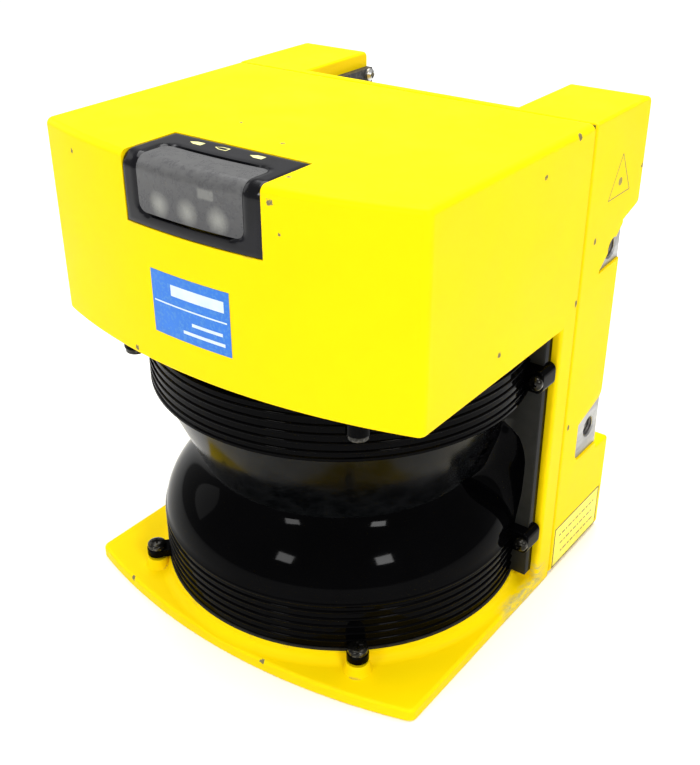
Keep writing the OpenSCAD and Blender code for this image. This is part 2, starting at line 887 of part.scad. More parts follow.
module stator_coils() {
    color([0.72, 0.4, 0.15]) for (a = [0:60:300]) rotate([0, 0, a]) difference() {
        box([11.6, 16.4], [-4.4, 4.4], [stator_z0 - 1.6, stator_z0 + stator_h + 1.6]);
        box([11, 17], [-2, 2], [stator_z0, stator_z0 + stator_h]);
    }
}

module bearing_outer_rings() {
    color("silver") for (z = bearing_z) ring_z(ball_ring_r + ball_r + run_gap, bearing_r, [z, z + bearing_w]);
}

module bearing_balls() {
    color("silver") for (z = bearing_z) for (a = [0:45:315])
        rotate([0, 0, a]) translate([ball_ring_r, 0, z + bearing_w / 2]) sphere(r = ball_r, $fn = 32);
}

module encoder_bracket() {
    color([0.2, 0.2, 0.22]) difference() {
        union() {
            box([15, 40], [-6, 6], [motor_top + 3, motor_top + 5]);
            box([30, 40], [-6, 6], [motor_top + 4, 50.5]);
        }
        box([26, encoder_r + 1.5], [-7, 7], [44.8, 48.2]);
    }
}

// ---------- rotor ----------

module bearing_inner_rings() {
    color("silver") for (z = bearing_z)
        ring_z(shaft_r, ball_ring_r - ball_r - run_gap, [z, z + bearing_w]);
}

// The shaft carries the magnet ring and the slotted encoder disc
module rotor_shaft() {
    color([0.7, 0.7, 0.72]) {
        rod_z(0, 0, shaft_r, [plinth_z + 1, shaft_top]);
        ring_z(shaft_r - eps, 9.8, [stator_z0, stator_z0 + stator_h]);
        ring_z(shaft_r - eps, 8, [45, 48]);
        difference() {
            ring_z(7, encoder_r, [46, 47]);
            for (i = [0:encoder_slots - 1]) rotate([0, 0, i * 360 / encoder_slots])
                box([encoder_r - 5, encoder_r - 1.5], [-0.7, 0.7], [45, 48]);
        }
    }
}

module behind_mirror(depth) {
    translate([0, 0, scan_z]) rotate([45, 0, 0]) box([-60, 60], [-60, 60], [-80, -depth]);
}

module mirror_carrier() {
    color([0.3, 0.3, 0.32]) difference() {
        intersection() {
            rod_z(0, 0, mirror_r, [carrier_z, scan_z + mirror_r]);
            behind_mirror(4);
        }
        rod_z(0, 0, shaft_r, [carrier_z - 1, shaft_top]);
        for (x = [-10, 10]) rod_z(x, 12, 5, [carrier_z - 1, carrier_z + 14]);
    }
}

module scan_mirror() {
    color([0.85, 0.88, 0.92]) intersection() {
        rod_z(0, 0, mirror_r, [carrier_z, scan_z + mirror_r]);
        difference() {
            behind_mirror(0);
            behind_mirror(4);
        }
    }
}

front_housing();
rear_housing();
housing_gasket();
housing_screws();
scan_window();
window_seal_upper();
window_seal_lower();
window_seal_sides();
window_screws();
window_side_screws();
indicator_bezel();
indicator_lens();
light_guides();
indicator_leds();
indicator_board();
front_badge();
type_label();
connector_covers();
connector_cover_screws();
cable_glands();
gland_nuts();
blanking_plugs();
plug_sockets();
main_board();
main_board_parts();
power_board();
power_board_parts();
board_standoffs();
ribbon_cable();
optics_plate();
optics_plate_screws();
lens_barrel();
receiver_lens();
lens_ring();
transmit_tube();
fold_mirror();
fold_mirror_bars();
light_hood();
laser_module();
laser_lens();
laser_bracket();
laser_board();
receiver_board();
photodiode();
monitor_emitter_board();
monitor_emitters();
monitor_detector_board();
monitor_detectors();
motor_housing();
motor_cap();
motor_screws();
stator_core();
stator_coils();
bearing_outer_rings();
bearing_balls();
encoder_bracket();
bearing_inner_rings();
rotor_shaft();
mirror_carrier();
scan_mirror();
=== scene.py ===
"""Looks of the laser scanner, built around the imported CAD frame.

Shapes are worked out in millimetres in the CAD frame: +Z up the scan axis, front towards -Y.
Most pieces replace their CAD node, and the threads, icons and sticker only add to it. All ride on
the housing. The CAD nodes that stay are given a material for their slot.
"""
import json
from math import acos, asin, atan2, cos, hypot, pi, radians, sin, sqrt, tan

import bmesh
import bpy
from mathutils import Matrix, Vector


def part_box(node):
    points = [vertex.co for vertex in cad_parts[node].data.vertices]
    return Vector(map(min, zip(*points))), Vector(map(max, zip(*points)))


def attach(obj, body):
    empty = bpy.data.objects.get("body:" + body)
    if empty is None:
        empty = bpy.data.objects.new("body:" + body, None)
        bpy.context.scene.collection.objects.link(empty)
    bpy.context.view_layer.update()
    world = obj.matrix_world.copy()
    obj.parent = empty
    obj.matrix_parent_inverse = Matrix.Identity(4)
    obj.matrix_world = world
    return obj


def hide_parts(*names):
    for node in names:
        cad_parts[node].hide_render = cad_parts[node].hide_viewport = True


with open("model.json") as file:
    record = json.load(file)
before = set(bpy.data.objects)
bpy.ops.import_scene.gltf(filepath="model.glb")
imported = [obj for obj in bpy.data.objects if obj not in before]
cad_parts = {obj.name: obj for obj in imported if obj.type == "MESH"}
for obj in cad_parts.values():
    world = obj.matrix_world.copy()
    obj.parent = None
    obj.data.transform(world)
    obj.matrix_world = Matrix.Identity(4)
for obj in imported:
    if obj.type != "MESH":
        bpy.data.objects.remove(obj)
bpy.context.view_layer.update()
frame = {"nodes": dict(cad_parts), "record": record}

MM = 0.001


def box_mm(node):
    """Lowest and highest corner of a CAD node in millimetres."""
    return [[value / MM for value in corner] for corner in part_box(node)]


# ---------- sizes taken from the CAD frame ----------

FRONT_LO, FRONT_HI = box_mm("front_housing")
REAR_LO, REAR_HI = box_mm("rear_housing")
WINDOW_LO, WINDOW_HI = box_mm("scan_window")
BEZEL_LO, BEZEL_HI = box_mm("indicator_bezel")
LENS_LO, LENS_HI = box_mm("indicator_lens")
BADGE_LO, BADGE_HI = box_mm("front_badge")
LABEL_LO, LABEL_HI = box_mm("type_label")

SKIN = 0.03
HALF_W = FRONT_HI[0] - SKIN
TOP = FRONT_HI[2] - SKIN
FRONT_REACH = -FRONT_LO[1]
SEAM = FRONT_HI[1]
REAR_FACE = REAR_LO[1]
BACK = REAR_HI[1]
BASE_GAP = REAR_LO[2]

# ---------- sizes of the castings ----------

CORNER_REACH = 63.0
SAGITTA = FRONT_REACH - CORNER_REACH
FRONT_R = (HALF_W ** 2 + SAGITTA ** 2) / (2 * SAGITTA)
FRONT_CY = FRONT_R - FRONT_REACH
HEAD_Z = 114.0
PLATE_T = 5.0
PLINTH_Z = 9.0
PLINTH_R = 72.1
PLINTH_FLARE = 3.7
CAVITY_X = 57.0
CAVITY_Z = (14.0, 108.0)
COLUMN_Y = 25.0
SEAM_EDGE = 0.6
EDGE_R = 2.4

LOWER_BLOCK_Z = 45.0
RECESS_Y = 68.0
BOX_X = 46.0
BOX_Z = 142.0
BOX_RISE = 3.7
MID_TOP_Z = 150.0
STRIP_Y = 40.0
SEAT_FLOOR = HALF_W - 1.0
M8_Y = 60.5
SEAT_REACH = 14.5
MACHINED = 1
M8_LOW_Z = 58.0
M8_HIGH_Z = 134.0
M8_CORE_R = 3.4
M8_OUTER_R = 4.0
M8_PITCH = 1.25
M8_DEPTH = 12.0
SCREW_PLACES = ((68.0, 16.0, BACK), (68.0, 96.0, RECESS_Y), (69.5, 177.0, BACK))

# ---------- sizes of the window ----------

BAND_LOW_R = 71.5
BAND_LOW_Z = 30.0
BAND_TOP_R = 72.0
BAND_TOP_Z = 90.0
NECK_R = 55.5
NECK_Z = 56.0
FLANGE_Y = 18.5
FLANGE_BACK = 23.5
FLANGE_W = WINDOW_HI[0] if WINDOW_HI[0] < 75.5 else 75.0
RIB_PITCH = 3.3
LUG_ANGLE = 41.0
LUG_R = 76.3
SIDE_LUG_X = 74.75
SIDE_LUG_Y = 14.0
SIDE_LUG_ZS = (28.0, 98.0)
LOWER_LUG = (10.0, 13.5)
UPPER_LUG = (104.0, 113.0)
LUG_SPOT = Matrix.Rotation(radians(LUG_ANGLE), 4, "Z") @ Matrix.Translation((0, -LUG_R, 0))
WINDOW_ARC = 96
WINDOW_HOLLOW = 10
FLANGE_COLUMNS = 4
GLOSSY, SMOKY, SATIN = 0, 1, 2
FILTER_EDGE_Y, FILTER_Z, FILTER_LEAN = 3.0, 60.0, 0.36


# ---------- mesh helpers ----------

def collect(*shapes):
    """Joins shapes, each a list of points and a list of faces with material numbers."""
    verts, faces = [], []
    for shape_verts, shape_faces in shapes:
        start = len(verts)
        verts += shape_verts
        faces += [([start + i for i in face], number) for face, number in shape_faces]
    return verts, faces


def to_mesh(name, shape):
    verts, faces = shape
    mesh = bpy.data.meshes.new(name)
    mesh.from_pydata([tuple(v) for v in verts], [], [face for face, _ in faces])
    for polygon, (_, number) in zip(mesh.polygons, faces):
        polygon.material_index = number
    work = bmesh.new()
    work.from_mesh(mesh)
    bmesh.ops.remove_doubles(work, verts=work.verts, dist=0.0005)
    bmesh.ops.recalc_face_normals(work, faces=work.faces)
    work.to_mesh(mesh)
    work.free()
    return mesh


def new_object(name, data):
    obj = bpy.data.objects.new(name, data)
    bpy.context.collection.objects.link(obj)
    return obj


def solid(name, shape):
    return new_object(name, to_mesh(name, shape))


def combine(target, shape, operation):
    """Cuts a shape out of target or adds it, in millimetres."""
    tool = solid("tool", shape)
    step = target.modifiers.new("step", "BOOLEAN")
    step.operation = operation
    step.solver = "EXACT"
    step.object = tool
    graph = bpy.context.evaluated_depsgraph_get()
    result = bpy.data.meshes.new_from_object(target.evaluated_get(graph))
    target.modifiers.clear()
    spent = target.data
    target.data = result
    bpy.data.meshes.remove(spent)
    tool_mesh = tool.data
    bpy.data.objects.remove(tool)
    bpy.data.meshes.remove(tool_mesh)


def cut(target, *shapes):
    for shape in shapes:
        combine(target, shape, "DIFFERENCE")


def cut_both(target, *shapes):
    """Cuts each shape and its mirror image."""
    for shape in shapes:
        cut(target, shape, mirrored(shape))


def add(target, *shapes):
    for shape in shapes:
        combine(target, shape, "UNION")


def finish_piece(obj, slot, nodes, looks=(), sharp=32.0, weighted=True, body="housing"):
    """Scales a piece to metres, gives it its looks, or its slot's own, and ties it to the frame."""
    mesh = obj.data
    mesh.transform(Matrix.Scale(MM, 4))
    numbers = [face.material_index for face in mesh.polygons]
    mesh.materials.clear()
    for look in looks or (slot,):
        mesh.materials.append(MATERIALS[look])
    for face, number in zip(mesh.polygons, numbers):
        face.material_index = number
    mesh.shade_smooth()
    mesh.set_sharp_from_angle(angle=radians(sharp))
    if weighted:
        normals = obj.modifiers.new("flat_faces", "WEIGHTED_NORMAL")
        normals.keep_sharp = True
        normals.weight = 90
    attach(obj, body)
    if nodes:
        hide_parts(*nodes)


def loft(rings, closed=True, caps=True, number=0):
    """Skins a list of rings that have the same number of points."""
    count = len(rings[0])
    verts = [point for ring in rings for point in ring]
    faces = []
    last = count if closed else count - 1
    for level in range(len(rings) - 1):
        a, b = level * count, (level + 1) * count
        for i in range(last):
            j = (i + 1) % count
            faces.append(([a + i, a + j, b + j, b + i], number))
    if caps:
        faces.append((list(range(count))[::-1], number))
        start = (len(rings) - 1) * count
        faces.append(([start + i for i in range(count)], number))
    return verts, faces


def fillet_steps(radius, steps=5):
    """Pairs of inset and height that round an edge."""
    if radius <= 0:
        return [(0.0, 0.0)]
    pairs = []
    for i in range(steps + 1):
        angle = pi / 2 * i / steps
        pairs.append((radius * (1 - sin(angle)), radius * (1 - cos(angle))))
    return pairs


def prism(outline, low, high, low_r=0.0, high_r=0.0, place=None, steps=5):
    """A straight solid over an outline, with rounded end edges."""
    place = place or (lambda u, v, h: (u, v, h))
    rings = []
    for inset, rise in fillet_steps(low_r, steps):
        rings.append([place(u, v, low + rise) for u, v in outline(inset)])
    for inset, rise in reversed(fillet_steps(high_r, steps)):
        rings.append([place(u, v, high - rise) for u, v in outline(inset)])
    return loft(rings)


def along_x(u, v, h):
    """Outline in Y and Z, pushed along X."""
    return (h, u, v)


def along_y(u, v, h):
    """Outline in X and Z, pushed along Y."""
    return (u, h, v)


def rounded(points, radii, steps=5):
    """An outline that can be inset: a polygon, counterclockwise, with rounded corners."""
    count = len(points)
    corners = [Vector(p) for p in points]

    def outline(inset):
        ways = [(corners[(i + 1) % count] - corners[i]).normalized() for i in range(count)]
        ring = []
        for i in range(count):
            before, after = ways[i - 1], ways[i]
            n1, n2 = Vector((-before.y, before.x)), Vector((-after.y, after.x))
            corner = corners[i] + (n1 + n2) * (inset / (1 + n1.dot(n2)))
            turn = before.x * after.y - before.y * after.x
            if not radii[i]:
                ring.append(tuple(corner))
                continue
            side = 1 if turn > 0 else -1
            radius = max(radii[i] - side * inset, 0.05)
            angle = acos(max(-1.0, min(1.0, before.dot(after))))
            reach = radius * tan(angle / 2)
            start = corner - before * reach
            centre = start + n1 * (radius * side)
            arm = start - centre
            for k in range(steps + 1):
                a = side * angle * k / steps
                ring.append((centre.x + arm.x * cos(a) - arm.y * sin(a),
                             centre.y + arm.x * sin(a) + arm.y * cos(a)))
        return ring

    return outline


def rectangle(u0, u1, v0, v1, radius=0.0, steps=5):
    return rounded([(u0, v0), (u1, v0), (u1, v1), (u0, v1)], [radius] * 4, steps)


def disc(u, v, radius, count=48):
    def outline(inset):
        return [(u + (radius - inset) * cos(2 * pi * i / count),
                 v + (radius - inset) * sin(2 * pi * i / count)) for i in range(count)]
    return outline


def revolve(profile, count=48, turn=360.0, start=0.0, number=0):
    """Turns radius and height pairs about Z. A full turn is closed."""
    full = abs(turn - 360.0) < 1e-6
    total = count if full else count + 1
    rings = []
    for radius, z in profile:
        ring = []
        for i in range(total):
            a = radians(start + turn * i / count)
            ring.append((radius * cos(a), radius * sin(a), z))
        rings.append(ring)
    return loft(rings, closed=full, caps=full, number=number)


def moved(shape, matrix):
    verts, faces = shape
    return [tuple(matrix @ Vector(v)) for v in verts], faces


def mirrored(shape):
    verts, faces = shape
    return [(-x, y, z) for x, y, z in verts], [(face[::-1], number) for face, number in faces]


def both_sides(shape):
    return collect(shape, mirrored(shape))


# ---------- material helpers ----------

class Nodes:
    """A small wrapper that builds a material's nodes."""

    def __init__(self, name, rough, metallic=0.0, specular=0.5, coat=0.0):
        self.material = bpy.data.materials.new(name)
        self.material.use_nodes = True
        self.tree = self.material.node_tree
        self.shader = self.tree.nodes["Principled BSDF"]
        self.fill(self.shader, {"Metallic": metallic, "Roughness": rough,
                                "Specular IOR Level": specular, "Coat Weight": coat})
        self.place = self.new("ShaderNodeTexCoord").outputs["Object"]

    def fill(self, node, inputs):
        for key, value in inputs.items():
            node.inputs[key].default_value = value

    def new(self, kind, inputs=None, **values):
        node = self.tree.nodes.new(kind)
        for key, value in values.items():
            setattr(node, key, value)
        self.fill(node, inputs or {})
        return node

    def link(self, source, target):
        self.tree.links.new(source, target)

    def noise(self, scale, detail=4.0, rough=0.55, stretch=None):
        node = self.new("ShaderNodeTexNoise", {"Scale": scale, "Detail": detail, "Roughness": rough})
        source = self.place
        if stretch:
            mapping = self.new("ShaderNodeMapping", {"Scale": stretch})
            self.link(source, mapping.inputs["Vector"])
            source = mapping.outputs["Vector"]
        self.link(source, node.inputs["Vector"])
        return node.outputs["Fac"]

    def ramp(self, source, low, high, from_value=0.0, to_value=1.0):
        limits = {"From Min": low, "From Max": high, "To Min": from_value, "To Max": to_value}
        node = self.new("ShaderNodeMapRange", limits, clamp=True)
        self.link(source, node.inputs["Value"])
        return node.outputs["Result"]

    def math(self, operation, a, b):
        node = self.new("ShaderNodeMath", operation=operation)
        for socket, value in zip(node.inputs, (a, b)):
            if isinstance(value, (int, float)):
                socket.default_value = value
            else:
                self.link(value, socket)
        return node.outputs[0]

    def product(self, first, *others):
        result = first
        for other in others:
            result = self.math("MULTIPLY", result, other)
        return result

    def axes(self):
        """The X, Y and Z of a point of the surface, in metres."""
        split = self.new("ShaderNodeSeparateXYZ")
        self.link(self.place, split.inputs["Vector"])
        return split.outputs

    def away_from(self, centre):
        """Distance in metres from a centre given in millimetres."""
        node = self.new("ShaderNodeVectorMath", operation="DISTANCE")
        self.link(self.place, node.inputs[0])
        node.inputs[1].default_value = [value * MM for value in centre]
        return node.outputs["Value"]

    def mix(self, factor, a, b):
        node = self.new("ShaderNodeMix", data_type="RGBA")
        sockets = [s for s in node.inputs if s.type == "RGBA"]
        for socket, value in zip(sockets, (a, b)):
            if isinstance(value, (tuple, list)):
                socket.default_value = (*value, 1.0)
            else:
                self.link(value, socket)
        if isinstance(factor, (int, float)):
            node.inputs["Factor"].default_value = factor
        else:
            self.link(factor, node.inputs["Factor"])
        return [s for s in node.outputs if s.type == "RGBA"][0]

    def bump(self, height, strength, distance=0.0002):
        node = self.new("ShaderNodeBump", {"Strength": strength, "Distance": distance})
        self.link(height, node.inputs["Height"])
        self.link(node.outputs["Normal"], self.shader.inputs["Normal"])

    def worn(self, low=0.53, high=0.6, scale=900.0):
        """Strong on convex edges, broken up by noise."""
        point = self.new("ShaderNodeNewGeometry").outputs["Pointiness"]
        edge = self.ramp(point, low, high)
        return self.product(edge, self.ramp(self.noise(scale, 3.0), 0.5, 0.62))

    def rubbed(self, reach, scale):
        """Strong where the surface turns within reach, in metres, broken up by noise."""
        bevel = self.new("ShaderNodeBevel", {"Radius": reach})
        geometry = self.new("ShaderNodeNewGeometry")
        node = self.new("ShaderNodeVectorMath", operation="DOT_PRODUCT")
        self.link(bevel.outputs["Normal"], node.inputs[0])
        self.link(geometry.outputs["Normal"], node.inputs[1])
        edge = self.ramp(node.outputs["Value"], 0.9, 0.99, 1.0, 0.0)
        return self.product(edge, self.ramp(self.noise(scale, 4.0, 0.65), 0.56, 0.64))

    def near(self, centre, radius, ragged):
        """One inside a ragged spot, in millimetres, else zero."""
        edge = self.math("ADD", self.away_from(centre), ragged)
        return self.ramp(edge, radius * MM * 0.85, radius * MM * 1.1, 1.0, 0.0)

    def colour(self, source):
        self.link(source, self.shader.inputs["Base Color"])

    def rough(self, source):
        self.link(source, self.shader.inputs["Roughness"])


def plain(name, base, rough, metallic=0.0, specular=0.5, tone=0.12, scale=60.0, grain=900.0,
          grain_depth=0.15, stretch=None, edge=None, coat=0.0):
    """A surface with uneven tone, uneven gloss, fine grain and worn edges."""
    kit = Nodes(name, rough, metallic, specular, coat)
    cloud = kit.noise(scale, 5.0, 0.6, stretch)
    dark = [value * (1 - tone) for value in base]
    light = [min(1.0, value * (1 + tone)) for value in base]
    colour = kit.mix(kit.ramp(cloud, 0.35, 0.65), dark, light)
    if edge:
        colour = kit.mix(kit.worn(), colour, edge)
    kit.colour(colour)
    kit.rough(kit.ramp(kit.noise(scale * 2.5, 4.0), 0.3, 0.7, rough * 0.85, min(1.0, rough * 1.18)))
    kit.bump(kit.noise(grain, 3.0, 0.6, stretch), grain_depth)
    return kit.material


# centre and radius of each chip in the paint, in millimetres
CHIPS = (
    ((52.0, -58.0, 176.0), 0.9), ((34.0, -73.0, 171.5), 0.7), ((31.0, -73.4, 180.5), 1.1),
    ((8.0, -40.0, 185.0), 0.7), ((-18.0, -30.0, 185.0), 0.6), ((30.0, -64.0, 185.0), 0.8),
    ((77.5, 2.0, 176.0), 0.8), ((77.5, -20.0, 124.0), 0.9), ((77.5, 24.0, 183.5), 1.2),
    ((-58.0, -68.5, 178.0), 0.7), ((-77.5, -20.0, 160.0), 1.0), ((-70.0, 40.0, 100.0), 0.9),
    ((-30.0, -74.0, 116.5), 0.9), ((20.0, -75.0, 4.5), 1.0), ((-52.0, -69.8, 4.0), 1.0),
    ((70.0, 79.9, 30.0), 1.0), ((-20.0, 68.0, 120.0), 1.1), ((77.5, 78.0, 160.0), 0.8),
)


def yellow_paint():
    """Satin powder coat: faint orange peel, small chips to grey metal, rubbed edges."""
    kit = Nodes("yellow_powder_coat", rough=0.46, specular=0.045)
    cloud = kit.ramp(kit.noise(22.0, 5.0, 0.6), 0.3, 0.7)
    colour = kit.mix(cloud, (0.93, 0.665, 0.0004), (0.965, 0.7, 0.0006))
    grime = kit.product(kit.ramp(kit.noise(9.0, 6.0, 0.65), 0.6, 0.85),
                        kit.ramp(kit.noise(260.0, 3.0, 0.6), 0.45, 0.75), 0.1)
    colour = kit.mix(grime, colour, (0.7, 0.5, 0.01))
    # chips: a few at places of their own, and more where a coarse noise peaks
    ragged = kit.product(kit.math("SUBTRACT", kit.noise(1400.0, 2.0), 0.5), 0.0022)
    chipped = kit.ramp(kit.noise(95.0, 2.0, 0.4), 0.785, 0.8)
    for centre, radius in CHIPS:
        chipped = kit.math("MAXIMUM", chipped, kit.near(centre, radius, ragged))
    rubbed = kit.rubbed(0.0011, 150.0)
    worn = kit.math("MAXIMUM", chipped, kit.product(rubbed, 0.55))
    colour = kit.mix(worn, colour, (0.2, 0.17, 0.08))
    scuff = scuff_patch(kit)
    colour = kit.mix(scuff, colour, (0.52, 0.45, 0.16))
    kit.colour(colour)
    kit.rough(kit.math("ADD", kit.ramp(kit.noise(45.0, 4.0), 0.3, 0.7, 0.4, 0.52),
                       kit.product(worn, 0.2)))
    peel = kit.noise(1500.0, 2.0, 0.5)
    height = kit.math("SUBTRACT", peel, kit.product(worn, 1.2))
    kit.bump(height, 0.16)
    return kit.material


def scuff_patch(kit):
    """Paint rubbed grey on the right end of the base plate."""
    x, y, z = kit.axes()
    strokes = kit.ramp(kit.noise(420.0, 4.0, 0.7, (1.0, 0.5, 2.2)), 0.4, 0.62)
    return kit.product(kit.ramp(x, 0.0735, 0.0765), kit.ramp(y, -0.004, 0.004),
                       kit.ramp(y, 0.026, 0.033, 1.0, 0.0), kit.ramp(z, 0.009, 0.014, 1.0, 0.0), strokes)


def window_filter():
    """Infrared filter plastic of the scan field: smoky, with a fine haze."""
    kit = Nodes("smoky_filter", rough=0.18, specular=0.05)
    haze = kit.ramp(kit.noise(140.0, 5.0, 0.7), 0.4, 0.75)
    colour = kit.mix(haze, (0.0008, 0.0010, 0.0012), (0.006, 0.0065, 0.007))
    kit.colour(colour)
    kit.rough(kit.ramp(kit.noise(60.0, 4.0), 0.3, 0.7, 0.1, 0.22))
    kit.bump(kit.noise(700.0, 3.0), 0.03)
    return kit.material


def lens_with_painted_glow():
    """Smoky diffuser with a dusty film, painted shade towards the bottom, and three soft spots of painted
    LED glow in its colour.
    """
    kit = Nodes("smoky_lens_painted_glow", rough=0.3, specular=0.35)
    film = kit.ramp(kit.noise(420.0, 5.0, 0.7), 0.35, 0.72)
    colour = kit.mix(film, (0.07, 0.07, 0.072), (0.1, 0.1, 0.098))
    x, _, z = kit.axes()
    # painted shade: the lens front is darker towards the bottom, lighter near the top where more light
    # falls
    colour = kit.mix(kit.ramp(z, 0.168, 0.181, 0.6, 0.0), colour, (0.03, 0.03, 0.033))
    # a paler patch high in the lens, right of the middle
    patch = kit.product(kit.ramp(x, 0.0045, 0.0052), kit.ramp(x, 0.0105, 0.0112, 1.0, 0.0),
                        kit.ramp(z, 0.1765, 0.1772), kit.ramp(z, 0.1795, 0.1802, 1.0, 0.0), 0.5)
    colour = kit.mix(patch, colour, (0.24, 0.24, 0.22))
    # painted glow: three soft pale spots where the LEDs sit, light painted into the colour, since the lens
    # does not emit
    ragged = kit.product(kit.math("SUBTRACT", kit.noise(160.0, 2.0), 0.5), 0.001)
    for spot in (-12.0, 0.0, 12.0):
        reach = kit.math("ADD", kit.away_from((spot, -74.5, 171.2)), ragged)
        painted_glow = kit.ramp(reach, 0.0005, 0.0048, 0.34, 0.0)
        colour = kit.mix(painted_glow, colour, (0.62, 0.62, 0.55))
    kit.colour(colour)
    kit.rough(kit.ramp(film, 0.0, 1.0, 0.22, 0.42))
    kit.bump(kit.noise(900.0, 3.0), 0.05)
    return kit.material


# One look for each material slot of the CAD nodes, and some that only the pieces below wear.
# After the colour, plain() is given: rough, metallic, specular, tone, scale, grain, grain depth.
MATERIALS = {
    "yellow_casting": yellow_paint(),
    "filter": window_filter(),
    "grey_lens": lens_with_painted_glow(),
    "machined": plain("machined_seat", (0.36, 0.36, 0.35), 0.4, 0.9, 0.5, 0.25, 90.0, 500.0, 0.3,
                      stretch=(1.0, 0.25, 3.0), edge=(0.3, 0.3, 0.3)),
    "thread": plain("dark_thread", (0.16, 0.155, 0.15), 0.45, 0.8, 0.5, 0.3, 300.0, 900.0, 0.2),
    "smoked_window": plain("gloss_black_window", (0.0008, 0.0008, 0.001),
                           0.06, 0.0, 0.028, 0.3, 30.0, 700.0, 0.006),
    "flange": plain("satin_black_flange", (0.014, 0.014, 0.012),
                    0.45, 0.0, 0.2, 0.2, 120.0, 1600.0, 0.12),
    "gloss_black": plain("gloss_black_bezel", (0.004, 0.004, 0.0055),
                         0.17, 0.0, 0.2, 0.4, 90.0, 800.0, 0.03),
    "dark_screws": plain("black_screw", (0.022, 0.021, 0.018), 0.22, 0.85, 0.5, 0.4, 400.0, 1500.0, 0.08,
                         edge=(0.2, 0.19, 0.17)),
    "icon": plain("icon_print", (0.85, 0.8, 0.34), 0.4, 0.0, 0.4, 0.1, 300.0, 1800.0, 0.05),
    "blue_badge": plain("badge_foil", (0.022, 0.17, 0.62), 0.34, 0.0, 0.25, 0.06, 60.0, 1500.0, 0.05,
                        edge=(0.05, 0.22, 0.6)),
    "badge_mark": plain("badge_mark", (0.62, 0.74, 0.86), 0.32, 0.0, 0.45, 0.08, 200.0, 1500.0, 0.04),
    "yellow_label": plain("label_foil", (0.98, 0.83, 0.06), 0.4, 0.0, 0.4, 0.06, 90.0, 1500.0, 0.05),
    "ink": plain("label_ink", (0.07, 0.06, 0.03), 0.5, 0.0, 0.4, 0.25, 500.0, 1500.0, 0.03),
    "faint_ink": plain("faint_ink", (0.3, 0.23, 0.03), 0.5, 0.0, 0.4, 0.25, 500.0, 1500.0, 0.03),
    "black_rubber": plain("seal_rubber", (0.012, 0.012, 0.011), 0.8, 0.0, 0.3, 0.3, 200.0, 1400.0, 0.3),
    "zinc_screws": plain("zinc_steel", (0.58, 0.58, 0.57), 0.36, 1.0, 0.5, 0.14, 250.0, 1500.0, 0.12,
                         edge=(0.35, 0.33, 0.3)),
    "black_plastic": plain("moulded_black", (0.02, 0.02, 0.021), 0.5, 0.0, 0.4, 0.25, 120.0, 1500.0, 0.25,
                           edge=(0.06, 0.06, 0.06)),
    "plated_sheet": plain("tin_plate", (0.55, 0.55, 0.53), 0.38, 1.0, 0.5, 0.12, 200.0, 1200.0, 0.1),
    "nickel_posts": plain("nickel_plate", (0.66, 0.63, 0.58), 0.28, 1.0, 0.5, 0.1, 220.0, 1400.0, 0.06),
    "green_board": plain("solder_mask", (0.012, 0.13, 0.045), 0.33, 0.0, 0.45, 0.35, 260.0, 600.0, 0.2),
    "grey_ribbon": plain("ribbon_cable", (0.4, 0.4, 0.42), 0.55, 0.0, 0.4, 0.12, 90.0, 900.0, 0.35,
                         stretch=(30.0, 1.0, 1.0)),
    "bare_aluminium": plain("machined_aluminium", (0.74, 0.75, 0.76),
                            0.32, 1.0, 0.5, 0.1, 120.0, 900.0, 0.15, stretch=(1.0, 1.0, 6.0)),
    "black_aluminium": plain("black_anodised", (0.018, 0.018, 0.02),
                             0.45, 0.5, 0.5, 0.25, 160.0, 1400.0, 0.15, edge=(0.2, 0.2, 0.2)),
    "optical_glass": plain("coated_glass", (0.45, 0.5, 0.6), 0.06, 0.0, 0.6, 0.08, 40.0, 300.0, 0.01,
                           coat=0.4),
    "mirror_glass": plain("first_surface_mirror", (0.86, 0.88, 0.9),
                          0.04, 1.0, 0.5, 0.03, 30.0, 300.0, 0.004),
    "brass_can": plain("brass_can", (0.74, 0.53, 0.2), 0.3, 1.0, 0.5, 0.12, 160.0, 1200.0, 0.08),
    "lamination_steel": plain("stator_steel", (0.26, 0.26, 0.28), 0.5, 0.9, 0.5, 0.15, 90.0, 1400.0, 0.35,
                              stretch=(1.0, 1.0, 14.0)),
    "copper_wire": plain("copper_winding", (0.62, 0.24, 0.08), 0.32, 0.9, 0.5, 0.15, 160.0, 1600.0, 0.5,
                         stretch=(1.0, 1.0, 10.0)),
    "bearing_steel": plain("ground_steel", (0.68, 0.68, 0.7), 0.2, 1.0, 0.5, 0.07, 160.0, 1500.0, 0.05,
                           stretch=(1.0, 1.0, 8.0)),
    "clear_plastic": plain("clear_plastic", (0.75, 0.77, 0.78), 0.12, 0.0, 0.5, 0.06, 120.0, 900.0, 0.03),
    "led_white": plain("led_body", (0.8, 0.8, 0.72), 0.25, 0.0, 0.5, 0.06, 300.0, 1200.0, 0.04),
}


# ---------- front casting ----------

